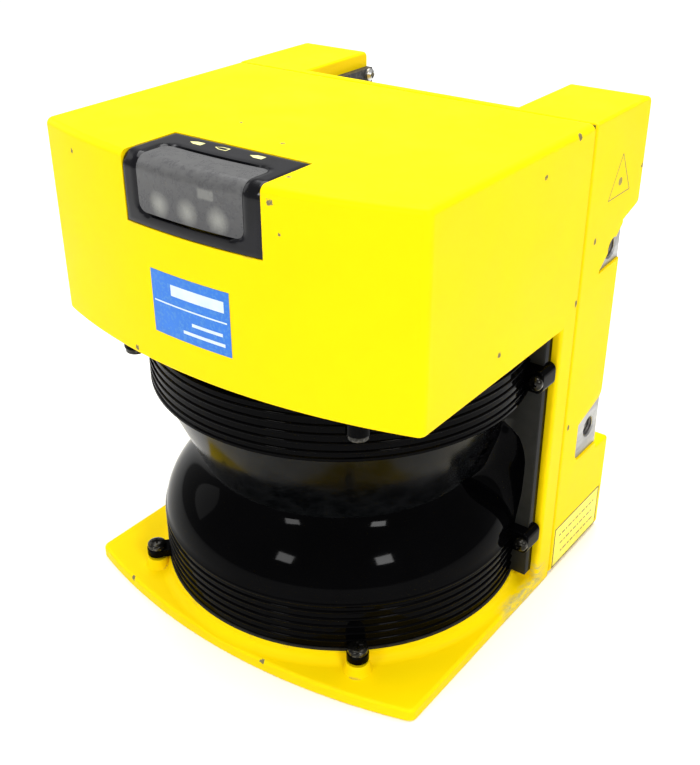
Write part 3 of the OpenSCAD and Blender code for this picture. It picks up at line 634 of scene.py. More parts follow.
def plan(inset, steps=6, arc_steps=36):
    """Outline of the head and the base plate: bowed front, straight sides, flat back."""
    corner_r = max(3.2 - inset, 0.3)
    side = HALF_W - inset
    centre_x = side - corner_r
    reach = FRONT_R - inset - corner_r
    centre_y = FRONT_CY - sqrt(reach ** 2 - centre_x ** 2)
    lean = atan2(centre_x, FRONT_CY - centre_y)
    back = SEAM - min(inset, SEAM_EDGE)
    back_r = max(SEAM_EDGE - inset, 0.05)
    ring = []
    for i in range(arc_steps + 1):
        a = -lean + 2 * lean * i / arc_steps
        ring.append(((FRONT_R - inset) * sin(a), FRONT_CY - (FRONT_R - inset) * cos(a)))
    for i in range(1, steps + 1):
        a = lean + (pi / 2 - lean) * i / steps
        ring.append((centre_x + corner_r * sin(a), centre_y - corner_r * cos(a)))
    for sign in (1, -1):
        for i in range(4):
            a = pi / 6 * i
            x, y = (back_r * cos(a), back_r * sin(a))
            if sign < 0:
                x, y = back_r * sin(a), back_r * cos(a)
            ring.append((sign * (side - back_r + x), back - back_r + y))
    for i in range(steps, 0, -1):
        a = lean + (pi / 2 - lean) * i / steps
        ring.append((-centre_x - corner_r * sin(a), centre_y - corner_r * cos(a)))
    return ring


def bezel_recess(depth):
    """The L-shaped recess for the indicator cover."""
    gap = 0.25
    side = BEZEL_HI[0] + gap
    top = prism(rectangle(-side, side, FRONT_LO[1] - 3, BEZEL_HI[1] + gap), TOP - depth, TOP + 3)
    face = front_slab(side, BEZEL_LO[2] - gap, TOP + 3, depth, 3)
    return top, face


def front_slab(side, low, high, depth, stand):
    """A curved slab that follows the bowed front from below its surface to above it."""
    rings = []
    for z in (low, high):
        ring = []
        for radius, way in ((FRONT_R + stand, 1), (FRONT_R - depth, -1)):
            limit = asin(side / radius)
            for i in range(25):
                a = way * (-limit + 2 * limit * i / 24)
                ring.append((radius * sin(a), FRONT_CY - radius * cos(a), z))
        rings.append(ring)
    return loft(rings)


def front_casting():
    """Head, column and base plate, with the recess for the indicator cover and the hollow inside."""
    obj = solid("front_casting", prism(plan, HEAD_Z, TOP, 1.6, EDGE_R))
    column = rounded([(-HALF_W, COLUMN_Y), (HALF_W, COLUMN_Y), (HALF_W, SEAM), (-HALF_W, SEAM)],
                     [1.6, 1.6, SEAM_EDGE, SEAM_EDGE])
    add(obj, prism(column, 0.8, HEAD_Z + 8), prism(plan, 0.0, PLATE_T, 0.5, 1.3))
    cut(obj, *bezel_recess(2.8))
    cavity = rectangle(-CAVITY_X, CAVITY_X, *CAVITY_Z, 5.0)
    cut(obj, prism(cavity, COLUMN_Y - 5, SEAM + 5, place=along_y))
    merge_loose(obj, collect(plinth(), both_sides(lug_seat())))
    finish_piece(obj, "yellow_casting", ["front_housing"])


def merge_loose(obj, shape):
    """Adds geometry that only touches or enters the main solid."""
    mesh = to_mesh("extra", shape)
    work = bmesh.new()
    work.from_mesh(obj.data)
    work.from_mesh(mesh)
    work.to_mesh(obj.data)
    work.free()
    bpy.data.meshes.remove(mesh)


def plinth():
    """Raised ring under the window with a hollow flank, running back into the column."""
    profile = [(60.0, PLINTH_Z), (71.6, PLINTH_Z), (72.0, PLINTH_Z - 0.3)]
    for i in range(9):
        a = pi / 2 * i / 8
        drop = (PLINTH_Z - PLATE_T - 0.4) * sin(a)
        profile.append((PLINTH_R + PLINTH_FLARE * (1 - cos(a)), PLINTH_Z - 0.4 - drop))
    return revolve(profile, 96, 224.0, -202.0)


def lug_seat():
    """The yellow seat under a lower front lug of the window."""
    profile = [(5.6, PLATE_T - 0.5), (5.2, PLATE_T + 0.4), (4.6, PLATE_T + 1.4), (4.4, PLINTH_Z - 0.6),
               (4.0, PLINTH_Z), (0.4, PLINTH_Z)]
    return moved(revolve(profile, 32), LUG_SPOT)


# ---------- rear casting ----------

def seat_upper():
    """Machined triangular seat of the upper side hole, running out at the back."""
    back = RECESS_Y + 3
    points = [(M8_Y - 11.6, M8_HIGH_Z - 7.2), (back, M8_HIGH_Z - 6.0), (back, M8_HIGH_Z + 10.6)]
    return prism(rounded(points, [0.8, 0, 0]), SEAT_FLOOR, HALF_W + 2, place=along_x)


def seat_lower():
    """Machined seat of the lower side hole: rounded below, slanted above."""
    low, front = M8_LOW_Z - 10.6, M8_Y - 12.2
    points = [(front, low), (RECESS_Y + 3, low), (RECESS_Y + 3, M8_LOW_Z + 11.5), (front, M8_LOW_Z + 4.6)]
    return prism(rounded(points, [4.0, 0, 0, 1.2]), SEAT_FLOOR, HALF_W + 2, place=along_x)


def seat_bevel():
    """Painted sloping flat above the lower seat."""
    front = M8_Y - 12.2
    corners = [(front, M8_LOW_Z + 4.2), (RECESS_Y + 3, M8_LOW_Z + 11.1),
               (RECESS_Y + 3, M8_LOW_Z + 16.0), (front, M8_LOW_Z + 8.8)]
    rings = [[(SEAT_FLOOR if i < 2 else HALF_W + 0.01, y, z) for i, (y, z) in enumerate(corners)],
             [(HALF_W + 2, y, z) for y, z in corners]]
    return loft(rings)


def counterbore(x, z, face):
    """Hole for an M5 screw: shank, head and chamfer."""
    shank = prism(disc(x, z, 2.9), face - 9, face - 4, place=along_y)
    head = prism(disc(x, z, 4.75), face - 5.5, face + 3, place=along_y)
    rim = loft([[(u, face - 0.5, v) for u, v in disc(x, z, 4.7)(0)],
                [(u, face + 0.1, v) for u, v in disc(x, z, 5.3)(0)]])
    return shank, head, rim


def rear_casting():
    """Lower block, wall and connector boxes, with seats, side holes, screw holes and label pockets."""
    low = BASE_GAP
    body = rounded([(REAR_FACE, low), (BACK, low), (BACK, LOWER_BLOCK_Z), (RECESS_Y, LOWER_BLOCK_Z),
                    (RECESS_Y, MID_TOP_Z), (REAR_FACE, MID_TOP_Z)],
                   [SEAM_EDGE, 1.6, 1.8, 1.5, 1.6, 0])
    block = prism(body, -HALF_W, HALF_W, 1.2, 1.2, along_x)
    obj = solid("rear_casting", block)
    rear = rounded([(REAR_FACE, BOX_Z - 30), (RECESS_Y - 2.5, BOX_Z - 30), (RECESS_Y - 2.5, BOX_Z - 0.6),
                    (BACK, BOX_Z + BOX_RISE), (BACK, TOP), (REAR_FACE, TOP)],
                   [0, 0, 0, 2.4, EDGE_R, SEAM_EDGE])
    tower = prism(rear, BOX_X, HALF_W, 1.2, 1.2, along_x)
    add(obj, tower, mirrored(tower))
    under = MID_TOP_Z - 8
    strip = rounded([(REAR_FACE, under), (STRIP_Y, under), (STRIP_Y, TOP), (REAR_FACE, TOP)],
                    [0, 0, 1.4, SEAM_EDGE])
    add(obj, prism(strip, -BOX_X - 6, BOX_X + 6, place=along_x))
    cut_both(obj, seat_upper(), seat_bevel(), seat_lower())
    for z in (M8_LOW_Z, M8_HIGH_Z):
        bore = prism(disc(M8_Y, z, M8_OUTER_R + 0.02), SEAT_FLOOR - M8_DEPTH, HALF_W + 3, place=along_x)
        rim = loft([[(SEAT_FLOOR - 0.55, u, v) for u, v in disc(M8_Y, z, M8_OUTER_R)(0)],
                    [(SEAT_FLOOR + 0.01, u, v) for u, v in disc(M8_Y, z, M8_OUTER_R + 0.6)(0)]])
        cut_both(obj, bore, rim)
    for x, z, face in SCREW_PLACES:
        cut_both(obj, *counterbore(x, z, face))
    gap = 0.3
    outline = rectangle(LABEL_LO[1] - gap, LABEL_HI[1] + gap, LABEL_LO[2] - gap, LABEL_HI[2] + gap)
    pocket = prism(outline, HALF_W - 0.22, HALF_W + 2, place=along_x)
    cut_both(obj, pocket)
    mark_machined(obj)
    finish_piece(obj, "yellow_casting", ["rear_housing"], ["yellow_casting", "machined"])


def mark_machined(obj):
    """Seat floors and hole rims are bare metal."""
    for face in obj.data.polygons:
        x, y, z = face.center
        near_hole = min(hypot(y - M8_Y, z - hole_z) for hole_z in (M8_LOW_Z, M8_HIGH_Z)) < SEAT_REACH
        flat = abs(abs(x) - SEAT_FLOOR) < 0.05 and abs(face.normal.x) > 0.95
        rim = SEAT_FLOOR - 1.0 < abs(x) < SEAT_FLOOR + 0.02
        sloped = abs(x) > SEAT_FLOOR + 0.05
        if near_hole and (flat or rim) and not sloped:
            face.material_index = MACHINED


def thread_liner():
    """The screw thread inside each side hole."""
    shapes = []
    count, rows = 40, 96
    for z0 in (M8_LOW_Z, M8_HIGH_Z):
        rings = []
        for row in range(rows + 1):
            depth = M8_DEPTH * row / rows
            ring = []
            for i in range(count):
                a = 2 * pi * i / count
                phase = (depth / M8_PITCH + i / count) % 1.0
                tooth = 1 - abs(2 * phase - 1)
                radius = M8_CORE_R + (M8_OUTER_R - M8_CORE_R) * tooth
                x = SEAT_FLOOR - 0.35 - depth * 0.97
                ring.append((x, M8_Y + radius * cos(a), z0 + radius * sin(a)))
            rings.append(ring)
        tip = [(SEAT_FLOOR - M8_DEPTH - 0.01, M8_Y, z0)] * count
        shapes.append(loft(rings + [tip], caps=False))
    obj = solid("side_hole_threads", both_sides(collect(*shapes)))
    finish_piece(obj, "yellow_casting", [], ["thread"], sharp=60.0, weighted=False)


# ---------- scan window ----------

def flare_points(count=22):
    """Curve from the lower band up to the neck."""
    a, b = (BAND_LOW_R - 0.5, BAND_LOW_Z + 0.5), (BAND_LOW_R - 2.0, BAND_LOW_Z + 13.5)
    c, d = (NECK_R + 3.0, NECK_Z - 6.5), (NECK_R, NECK_Z)
    points = []
    for i in range(count + 1):
        t = i / count
        weights = ((1 - t) ** 3, 3 * t * (1 - t) ** 2, 3 * t * t * (1 - t), t ** 3)
        points.append(tuple(sum(w * p[k] for w, p in zip(weights, (a, b, c, d))) for k in (0, 1)))
    return points


def ridge(radius, z, height=0.55, half=0.62, count=6):
    """A thin rounded rib that stands out of a band."""
    angles = [pi * i / count for i in range(count + 1)]
    return [(radius - height + height * sin(a), z - half * cos(a)) for a in angles]


def band(*pairs):
    return [(radius, z, "band") for radius, z in pairs]


def window_rows():
    """Radius, height and kind of each row of the window, from the bottom up."""
    base = BAND_LOW_R - 0.55
    rows = band((67.0, WINDOW_LO[2]), (base, WINDOW_LO[2]))
    for i in range(5):
        rows += band(*ridge(BAND_LOW_R, 13.2 + RIB_PITCH * i))
    rows += band((base, 28.4), (BAND_LOW_R - 0.1, 28.9), (BAND_LOW_R, 29.5), (BAND_LOW_R - 0.12, 30.1))
    rows += [(r, z, "flare") for r, z in flare_points()]
    for i in range(1, 15):
        t = i / 14
        rows.append((NECK_R + (BAND_TOP_R - 2.2 - NECK_R) * t, NECK_Z + (BAND_TOP_Z - NECK_Z) * t, "cone"))
    base = BAND_TOP_R - 0.55
    rows += band((BAND_TOP_R - 0.5, BAND_TOP_Z), (BAND_TOP_R, BAND_TOP_Z + 0.5),
                 (BAND_TOP_R, BAND_TOP_Z + 1.3), (base, BAND_TOP_Z + 1.7))
    for i in range(5):
        rows += band(*ridge(BAND_TOP_R, BAND_TOP_Z + 3.6 + RIB_PITCH * i))
    rows += band((base, 108.2), (BAND_TOP_R - 0.1, 108.6), (BAND_TOP_R - 0.1, 109.6),
                 (BAND_TOP_R - 2.0, 110.1), (BAND_TOP_R - 2.0, WINDOW_HI[2]), (66.0, WINDOW_HI[2]))
    return rows


LOBE = ((30.0, 68.6), (38.0, 69.6), (46.7, 70.7), (56.0, 71.1), (62.0, 71.0), (67.0, 69.8),
        (70.5, 68.0), (73.0, 65.0), (74.6, 61.5))


def lobe_edge(z):
    """How far out the glossy hollow beside the flare reaches on the flange."""
    if z <= LOBE[0][0] or z >= LOBE[-1][0]:
        return 0.0
    for (z0, x0), (z1, x1) in zip(LOBE, LOBE[1:]):
        if z <= z1:
            t = (z - z0) / (z1 - z0)
            return x0 + (x1 - x0) * t
    return 0.0


def window_section(radius, z):
    """Half outline of one row: around the band, out through the hollow, over the flange."""
    square = sqrt(max(radius ** 2 - FLANGE_Y ** 2, 1.0))
    edge = max(lobe_edge(z), square)
    sweep = edge - square
    start_y = FLANGE_Y - sweep * 0.95
    leave = acos(max(-1.0, min(1.0, -start_y / radius)))
    points = []
    for i in range(WINDOW_ARC + 1):
        a = leave * i / WINDOW_ARC
        points.append((radius * sin(a), -radius * cos(a), z))
    sx, sy = points[-1][:2]
    cx = sx + (FLANGE_Y - sy) * (cos(leave) / max(sin(leave), 0.2))
    for i in range(1, WINDOW_HOLLOW + 1):
        t = i / WINDOW_HOLLOW
        x = (1 - t) ** 2 * sx + 2 * t * (1 - t) * cx + t * t * edge
        y = (1 - t) ** 2 * sy + 2 * t * (1 - t) * FLANGE_Y + t * t * FLANGE_Y
        points.append((x, y, z))
    for i in range(1, FLANGE_COLUMNS):
        points.append((edge + (FLANGE_W - 0.4 - edge) * i / (FLANGE_COLUMNS - 1), FLANGE_Y, z))
    points += [(FLANGE_W - 0.1, FLANGE_Y + 0.1, z), (FLANGE_W, FLANGE_Y + 0.4, z),
               (FLANGE_W, FLANGE_BACK - 0.2, z), (FLANGE_W - 8.0, FLANGE_BACK, z)]
    return points


def scan_window():
    """Bands, cone, flare and flanges as one skin that is open at its hidden back edges."""
    rows = window_rows()
    half = [window_section(r, z) for r, z, _ in rows]
    flange_start = WINDOW_ARC + WINDOW_HOLLOW
    width = len(half[0])
    total = 2 * width - 1
    verts, faces = [], []
    for points in half:
        verts += [(-x, y, z) for x, y, z in reversed(points[1:])] + points
    for level in range(len(rows) - 1):
        kind = rows[level + 1][2]
        for i in range(total - 1):
            column = abs(i + 0.5 - (width - 1))
            a, b = level * total + i, (level + 1) * total + i
            number = GLOSSY
            if column > flange_start:
                number = SATIN if column < flange_start + FLANGE_COLUMNS else GLOSSY
            elif kind == "cone":
                _, y, z = verts[a]
                number = SMOKY if y < FILTER_EDGE_Y - FILTER_LEAN * (z - FILTER_Z) else GLOSSY
            faces.append(([a, a + 1, b + 1, b], number))
    obj = solid("scan_window_shell", (verts, faces))
    lugs = (window_lug(*LOWER_LUG), window_lug(*UPPER_LUG), side_lugs())
    merge_loose(obj, collect(*(both_sides(lug) for lug in lugs)))
    finish_piece(obj, "smoked_window", ["scan_window"], ["smoked_window", "filter", "flange"], sharp=38.0)


def window_lug(low, high):
    """Round lug with a web to the band."""
    round_part = prism(disc(0, 0, 4.1, 32), low, high, 0.5, 0.5, steps=3)
    web = prism(rectangle(-3.6, 3.6, 0, 7.5, 0.4), low, high, 0.4, 0.4, steps=3)
    return moved(collect(round_part, web), LUG_SPOT)


def side_lugs():
    """Blocks on the flange corners that take the rear window screws."""
    shapes = []
    for z in SIDE_LUG_ZS:
        inner, outer, low, high = 68.5, 77.3, z - 4.6, z + 4.6
        outline = rounded([(inner, low), (outer, low), (outer, high), (inner, high)], [0.6, 2.6, 2.6, 0.6])
        shapes.append(prism(outline, SIDE_LUG_Y, FLANGE_BACK, 0.7, 0.3, along_y, 3))
    return collect(*shapes)


def dome_screw(shank, radius, head_r, head_h):
    """Dome-head screw along +Z with a cross recess, head above z = 0."""
    profile = [(0.01, -shank), (radius, -shank), (radius, 0.0), (head_r, 0.0), (head_r, 0.45 * head_h)]
    for i in range(1, 9):
        a = pi / 2 * i / 8
        profile.append((max(head_r * cos(a), 0.01), head_h * (0.45 + 0.55 * sin(a))))
    obj = solid("screw_blank", revolve(profile, 32))
    for turn in (0, pi / 2):
        spin = Matrix.Rotation(turn, 4, "Z")
        ends = ((0.62 * head_r, 0.42, head_h + 1), (0.3 * head_r, 0.3, head_h * 0.35))
        wings = [[(-u, -v, z), (u, -v, z), (u, v, z), (-u, v, z)] for u, v, z in ends]
        cut(obj, moved(loft(wings), spin))
    shape = ([tuple(v.co) for v in obj.data.vertices],
             [(list(face.vertices), 0) for face in obj.data.polygons])
    mesh = obj.data
    bpy.data.objects.remove(obj)
    bpy.data.meshes.remove(mesh)
    return shape


def window_screws():
    """M4 dome heads through the front lugs. The upper pair points up from under the head."""
    stand = Matrix.Translation((0, 0, LOWER_LUG[1]))
    lower = moved(dome_screw(11.0, 2.0, 3.75, 2.6), LUG_SPOT @ stand)
    flip = Matrix.Translation((0, 0, UPPER_LUG[0])) @ Matrix.Rotation(pi, 4, "X")
    upper = moved(dome_screw(18.0, 2.0, 3.75, 2.6), LUG_SPOT @ flip)
    obj = solid("window_front_screws", both_sides(collect(lower, upper)))
    finish_piece(obj, "dark_screws", ["window_screws"], sharp=38.0, weighted=False)


def window_side_screws():
    """M3 dome heads in the flange lugs, each with its cross recess turned differently."""
    shapes = []
    for index, z in enumerate(SIDE_LUG_ZS):
        turn = Matrix.Rotation(pi / 2, 4, "X") @ Matrix.Rotation(0.5 + index, 4, "Z")
        stand = Matrix.Translation((SIDE_LUG_X, SIDE_LUG_Y, z))
        shapes.append(moved(dome_screw(18.0, 1.5, 2.7, 2.5), stand @ turn))
    obj = solid("window_flange_screws", both_sides(collect(*shapes)))
    finish_piece(obj, "dark_screws", ["window_side_screws"], sharp=38.0, weighted=False)


# ---------- indicator cover ----------

CORNER_R = 5.0
LENS_CORNER = 3.0
LENS_W = LENS_HI[0] + 0.1
COVER_RETURN = 2.4
LENS_DROP = 0.45


def cover_point(x, s, lift=0.0):
    """A point on the cover: s runs from the lower front edge up, round the corner and back."""
    face_run = TOP - CORNER_R - BEZEL_LO[2]
    bend_run = CORNER_R * pi / 2
    front = FRONT_CY - sqrt(FRONT_R ** 2 - x ** 2)
    if s <= face_run:
        return (x, front - lift, BEZEL_LO[2] + s)
    if s <= face_run + bend_run:
        a = (s - face_run) / CORNER_R
        reach = CORNER_R + lift
        return (x, front + CORNER_R - reach * cos(a), TOP - CORNER_R + reach * sin(a))
    return (x, front + CORNER_R + (s - face_run - bend_run), TOP + lift)


def lens_half_width(s, low, high):
    """Half width of the lens opening at s, narrowed by its round corners."""
    near = min(s - low, high - s)
    if near >= LENS_CORNER:
        return LENS_W
    gap = LENS_CORNER - max(near, 0.0)
    return LENS_W - LENS_CORNER + sqrt(max(LENS_CORNER ** 2 - gap ** 2, 0.0))


def cover_rows():
    face_run = TOP - CORNER_R - BEZEL_LO[2]
    bend_run = CORNER_R * pi / 2
    low = LENS_LO[2] - BEZEL_LO[2]
    high = face_run + bend_run + (LENS_HI[1] + 0.1 + FRONT_REACH - CORNER_R)
    end = face_run + bend_run + (BEZEL_HI[1] + FRONT_REACH - CORNER_R)
    rows = [low * i / 5 for i in range(5)]
    rows += [low + LENS_CORNER * (1 - cos(pi / 2 * i / 6)) for i in range(6)]
    middle = high - low - 2 * LENS_CORNER
    rows += [low + LENS_CORNER + middle * i / 40 for i in range(40)]
    rows += [high - LENS_CORNER + LENS_CORNER * sin(pi / 2 * i / 6) for i in range(7)]
    rows += [high + (end - high) * i / 10 for i in range(1, 11)]
    return rows, low, high, end


def cover_grid(lens):
    """The lens or the frame around it, as one layer with a turned-in edge."""
    rows, low, high, end = cover_rows()
    side = BEZEL_HI[0]
    frame_columns, lens_columns = 8, 30
    total = 2 * frame_columns + lens_columns
    verts, faces = [], []
    keys = {}

    def vertex(row, column, layer):
        key = (row, column, layer)
        if key in keys:
            return keys[key]
        s = rows[row]
        inside = min(max(s, low), high)
        half = lens_half_width(inside, low, high)
        if column <= frame_columns:
            x = -side + (side - half) * column / frame_columns
        elif column >= total - frame_columns:
            x = half + (side - half) * (column - total + frame_columns) / frame_columns
        else:
            x = -half + 2 * half * (column - frame_columns) / lens_columns
        lift = layer
        if not lens and layer == 0:
            lift = frame_lift(x, s, half, side, low, high, end)
        if lens and layer == 0:
            lift = -LENS_DROP
        point = list(cover_point(x, s, lift))
        # the cover's back edge is straight, so the rows behind the lens are stretched to reach it
        if s > high and not lens:
            curved = cover_point(x, end)[1]
            point[1] += (BEZEL_HI[1] - curved) * (s - high) / (end - high)
        keys[key] = len(verts)
        verts.append(tuple(point))
        return keys[key]

    ways_out = ((-1, 0), (0, 1), (1, 0), (0, -1))
    for row in range(len(rows) - 1):
        mid = (rows[row] + rows[row + 1]) / 2
        in_rows = low < mid < high
        for column in range(total):
            in_columns = frame_columns <= column < total - frame_columns
            if lens != (in_rows and in_columns):
                continue
            ring = [(row, column), (row, column + 1), (row + 1, column + 1), (row + 1, column)]
            faces.append(([vertex(r, c, 0) for r, c in ring], 0))
            for (r0, c0), (r1, c1), (dr, dc) in zip(ring, ring[1:] + ring[:1], ways_out):
                nr, nc = row + dr, column + dc
                outside = nr < 0 or nr >= len(rows) - 1 or nc < 0 or nc >= total
                if not outside:
                    other_rows = low < (rows[nr] + rows[nr + 1]) / 2 < high
                    other_columns = frame_columns <= nc < total - frame_columns
                    if (other_rows and other_columns) == (in_rows and in_columns):
                        continue
                faces.append(([vertex(r0, c0, 0), vertex(r1, c1, 0),
                               vertex(r1, c1, -COVER_RETURN), vertex(r0, c0, -COVER_RETURN)], 0))
    return verts, faces


def frame_lift(x, s, half, side, low, high, end):
    """The frame's bars are slightly round and dip towards the lens and the casting."""
    edge = min(side - abs(x), s, end - s)
    dip = -0.3 * max(0.0, 1 - edge / 0.8) ** 2
    across = abs(x) - half
    if low <= s <= high:
        inner = across
    else:
        along = low - s if s < low else s - high
        inner = hypot(along, max(across, 0.0))
    return dip - 0.55 * max(0.0, 1 - inner / 2.2) ** 2


def indicator():
    frame_obj = solid("indicator_cover", cover_grid(False))
    finish_piece(frame_obj, "gloss_black", ["indicator_bezel"], sharp=40.0, weighted=False)
    lens_obj = solid("indicator_diffuser", cover_grid(True))
    finish_piece(lens_obj, "grey_lens", ["indicator_lens"], sharp=40.0, weighted=False)


def flat_shape(outline, z, thickness):
    return prism(lambda inset: outline, z, z + thickness)


def icon_outline(x, y, size, inset=0.0):
    """A generic pointed tag, seen from above."""
    w, h = 0.5 * size - inset, 1.3 * size - 1.4 * inset
    shoulder, end = x - 0.35 * size, x + h * 0.75
    return [(x - h, y), (shoulder, y - w), (end, y - w), (end, y + w), (shoulder, y + w)]


def icons():
    """Three tags printed on the cover's top, the middle one in outline."""
    shapes = []
    level, size = TOP, 2.4
    for index, (x, y) in enumerate(((-13.7, -55.3), (-3.4, -55.0), (10.8, -55.0))):
        outer = icon_outline(x, y, size)
        if index == 1:
            inner = icon_outline(x, y, size, 0.42)
            count = len(outer)
            verts = [(u, v, level + dz) for dz in (0.0, SKIN) for u, v in outer + inner]
            faces = []
            for i in range(count):
                j = (i + 1) % count
                faces.append(([2 * count + i, 2 * count + j, 3 * count + j, 3 * count + i], 0))
                faces.append(([i, j, 2 * count + j, 2 * count + i], 0))
            shapes.append((verts, faces))
        else:
            shapes.append(flat_shape(outer, level, SKIN))
    obj = solid("indicator_icons", collect(*shapes))
    finish_piece(obj, "yellow_label", [], ["icon"], sharp=30.0, weighted=False)


# ---------- badge and labels ----------

def curved_patch(x0, x1, z0, z1, lift, number=0, columns=16, thick=0.25):
    """A thin plate that follows the bowed front."""
    rings = []
    for z, depth in ((z0, thick), (z0, 0.0), (z1, 0.0), (z1, thick)):
        ring = []
        for i in range(columns + 1):
            x = x0 + (x1 - x0) * i / columns
            radius = FRONT_R + lift - depth
            ring.append((x, FRONT_CY - sqrt(radius ** 2 - x * x), z))
        rings.append(ring)
    return loft(rings, closed=False, caps=False, number=number)


def badge():
    """Blue plate with a wide bar, a line and two narrow bars, and no lettering."""
    x0, x1, z0, z1 = BADGE_LO[0], BADGE_HI[0], BADGE_LO[2], BADGE_HI[2]
    plate_lift, mark_lift, mark_t = 0.12, 0.17, 0.12
    shapes = [curved_patch(x0, x1, z0, z1, plate_lift)]
    marks = ((x0 + 9.0, x1 - 2.2, z1 - 7.2, z1 - 3.4, 10), (x0 + 1.0, x1 - 1.2, z0 + 11.2, z0 + 11.7, 14),
             (x0 + 17.5, x1 - 3.2, z0 + 6.4, z0 + 7.5, 6), (x0 + 13.5, x1 - 2.4, z0 + 3.0, z0 + 4.1, 6))
    for left, right, low, high, columns in marks:
        shapes.append(curved_patch(left, right, low, high, mark_lift, 1, columns, mark_t))
    obj = solid("blue_badge", collect(*shapes))
    looks = ["blue_badge", "badge_mark"]
    finish_piece(obj, "blue_badge", ["front_badge"], looks, sharp=40.0, weighted=False)


def side_plate(y0, y1, z0, z1, low, high, number):
    """A thin rectangle on the right flank, from low to high along X."""
    shape = prism(rectangle(y0, y1, z0, z1), low, high, place=along_x)
    return shape[0], [(face, number) for face, _ in shape[1]]


def type_labels():
    """Label with a thin border and rows of plain dashes, on both flanks."""
    y0, y1, z0, z1 = LABEL_LO[1], LABEL_HI[1], LABEL_LO[2], LABEL_HI[2]
    face = HALF_W
    shapes = [side_plate(y0, y1, z0, z1, face - 0.2, face - 0.04, 0)]
    line = 0.45
    for a, b, c, d in ((y0, y1, z0, z0 + line), (y0, y1, z1 - line, z1), (y0, y0 + line, z0, z1),
                       (y1 - line, y1, z0, z1)):
        shapes.append(side_plate(a, b, c, d, face - 0.1, face, 1))
    dashes = (1.6, 2.4, 1.1, 2.9)
    for row, z in enumerate((15.5, 11.0, 6.5)):
        y = y0 + 4.0 + 1.3 * row
        placed = 0
        while y < y1 - 5.0:
            dash = dashes[(placed + row) % len(dashes)]
            shapes.append(side_plate(y, y + dash, z, z + 0.8, face - 0.1, face, 2))
            y += dash + 1.0
            placed += 1
    obj = solid("side_labels", both_sides(collect(*shapes)))
    looks = ["yellow_label", "ink", "faint_ink"]
    finish_piece(obj, "yellow_label", ["type_label"], looks, sharp=30.0, weighted=False)


def triangle_sticker():
    """Plain outline triangle with a dot on the right connector box."""
    low, high = HALF_W - 0.05, HALF_W + SKIN
    centre = Vector((60.0, 160.0))
    corners = [centre + Vector((0, 9.0)), centre + Vector((-8.6, -6.0)), centre + Vector((8.6, -6.0))]
    shapes = []
    for i in range(3):
        a, b = corners[i], corners[(i + 1) % 3]
        way = (b - a).normalized()
        off = Vector((-way.y, way.x)) * 0.22
        ring = [tuple(a + off), tuple(a - off), tuple(b - off), tuple(b + off)]
        shapes.append(prism(lambda inset, r=ring: r, low, high, place=along_x))
    shapes.append(prism(disc(centre.x, centre.y - 1.0, 1.5, 20), low, high, place=along_x))
    obj = solid("triangle_sticker", collect(*shapes))
    finish_piece(obj, "yellow_label", [], ["faint_ink"], sharp=30.0, weighted=False)


# ---------- cable glands at the back ----------

def gland():
    """One gland: hex body with chamfers, domed ribbed nut, closed by a plug."""
    inner = BOX_X - 3.0
    hex_r, hole_r, ribs, sides = 10.4, 4.96, 12, 96
    turn = Matrix.Translation((0, 63.0, 164.0)) @ Matrix.Rotation(pi / 2, 4, "Y")
    angles = [pi / 3 * i for i in range(6)]
    hexagon = rounded([(hex_r * cos(a), hex_r * sin(a)) for a in angles], [1.2] * 6, 3)
    body = prism(hexagon, inner - 5.0, inner - 0.02, 0.7, 0.4)
    profile = [(9.0, inner - 4.9)]
    for i in range(7):
        a = pi / 2 * i / 6
        profile.append((5.4 + 3.6 * cos(a), inner - 9.0 - 3.0 * sin(a)))
    profile += [(hole_r, inner - 12.0), (hole_r, inner - 9.0)]
    rings = []
    for radius, z in profile:
        ring = []
        for i in range(sides):
            a = 2 * pi * i / sides
            rib = 0.28 * max(0.0, cos(ribs * a)) if radius > 8.0 else 0.0
            ring.append(((radius - rib) * cos(a), (radius - rib) * sin(a), z))
        rings.append(ring)
    nut = loft(rings, caps=False)
    return moved(collect(body, nut), turn)


def glands():
    obj = solid("gland_bodies", both_sides(gland()))
    finish_piece(obj, "black_plastic", ["cable_glands"], sharp=35.0)


# ---------- materials of the CAD nodes that stay ----------

def dress_cad_nodes():
    """Gives each CAD node the look of its material slot."""
    slots = {entry["node"]: entry["material_slot"] for entry in frame["record"]["subparts"]}
    for name, obj in frame["nodes"].items():
        obj.data.materials.clear()
        obj.data.materials.append(MATERIALS[slots[name]])


# ---------- studio ----------

CAMERA_AT = (221.3, -292.0, 284.1)
CAMERA_AZ = radians(37.99)
CAMERA_EL = radians(28.91)
CAMERA_ROLL = radians(-0.743)
LENS_MM = 51.21
SHIFT = (0.0291, -0.0063)


def camera():
    """The viewpoint of the photograph: back points from the part to the camera."""
    data = bpy.data.cameras.new("camera")
    data.lens = LENS_MM
    data.sensor_width = 36.0
    data.shift_x, data.shift_y = SHIFT
    data.clip_start = 0.01
    obj = new_object("camera", data)
    flat = cos(CAMERA_EL)
    back = Vector((sin(CAMERA_AZ) * flat, -cos(CAMERA_AZ) * flat, sin(CAMERA_EL)))
    right = Vector((cos(CAMERA_AZ), sin(CAMERA_AZ), 0.0))
    up = back.cross(right)
    c, s = cos(CAMERA_ROLL), sin(CAMERA_ROLL)
    x_axis, y_axis = right * c + up * s, up * c - right * s
    turned = Matrix((x_axis, y_axis, back)).transposed().to_4x4()
    obj.matrix_world = Matrix.Translation([value * MM for value in CAMERA_AT]) @ turned
    bpy.context.scene.camera = obj


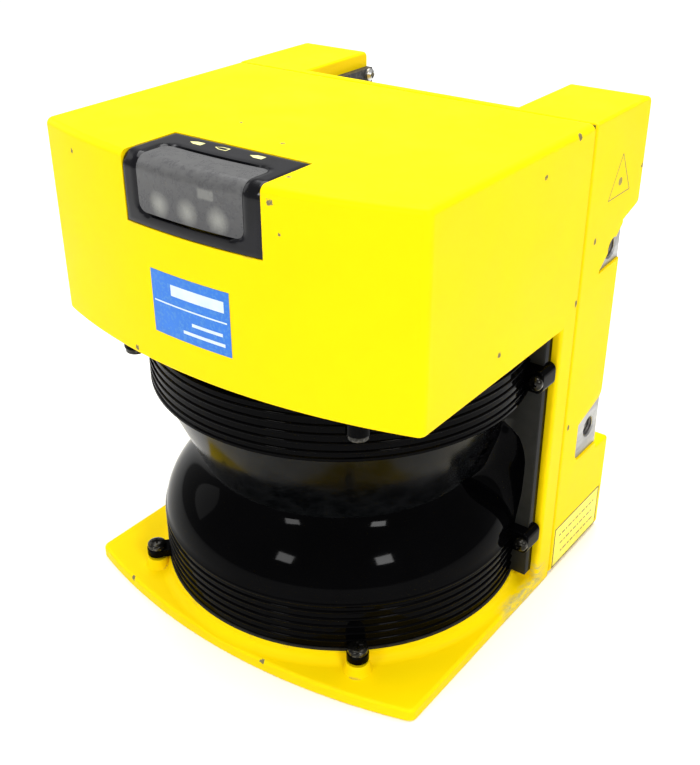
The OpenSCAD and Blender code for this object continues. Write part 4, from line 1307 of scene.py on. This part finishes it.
def area_light(name, azimuth, elevation, distance, width, height, power, target=(0, 0, 0.08)):
    """A soft box aimed at the target. Azimuth 0 is straight in front, 90 is the right side."""
    data = bpy.data.lights.new(name, "AREA")
    data.shape = "RECTANGLE"
    data.size, data.size_y = width, height
    data.energy = power
    obj = new_object(name, data)
    a, e = radians(azimuth), radians(elevation)
    away = Vector((sin(a) * cos(e), -cos(a) * cos(e), sin(e)))
    obj.location = Vector(target) + away * distance
    obj.rotation_euler = away.to_track_quat("Z", "Y").to_euler()


def studio():
    """White surroundings, four soft boxes and a pale floor."""
    world = bpy.data.worlds.new("studio")
    world.use_nodes = True
    sky = world.node_tree.nodes["Background"]
    sky.inputs["Color"].default_value = (1.0, 1.0, 1.0, 1.0)
    sky.inputs["Strength"].default_value = 0.45
    bpy.context.scene.world = world
    area_light("front_box", azimuth=0, elevation=29, distance=1.25, width=0.2, height=0.17, power=3.6)
    area_light("right_box", azimuth=64, elevation=31, distance=1.25, width=0.2, height=0.17, power=5.0)
    area_light("top_box", azimuth=200, elevation=78, distance=1.6, width=1.6, height=1.6, power=38.0)
    area_light("left_box", azimuth=-80, elevation=25, distance=1.8, width=1.2, height=1.0, power=5.0)
    size = 6.0
    floor_mesh = bpy.data.meshes.new("floor")
    floor_mesh.from_pydata([(-size, -size, 0), (size, -size, 0), (size, size, 0), (-size, size, 0)], [],
                           [(0, 1, 2, 3)])
    floor = new_object("floor", floor_mesh)
    floor.location.z = -0.0002
    kit = Nodes("pale_floor", rough=0.9, specular=0.1)
    kit.colour(kit.mix(kit.ramp(kit.noise(3.0, 3.0), 0.3, 0.7), (0.93, 0.93, 0.92), (0.96, 0.96, 0.955)))
    floor_mesh.materials.append(kit.material)
    bpy.context.scene.view_settings.view_transform = "Standard"
    bpy.context.scene.view_settings.look = "None"


camera()
studio()
dress_cad_nodes()
front_casting()
rear_casting()
thread_liner()
scan_window()
window_screws()
window_side_screws()
indicator()
icons()
badge()
type_labels()
triangle_sticker()
glands()
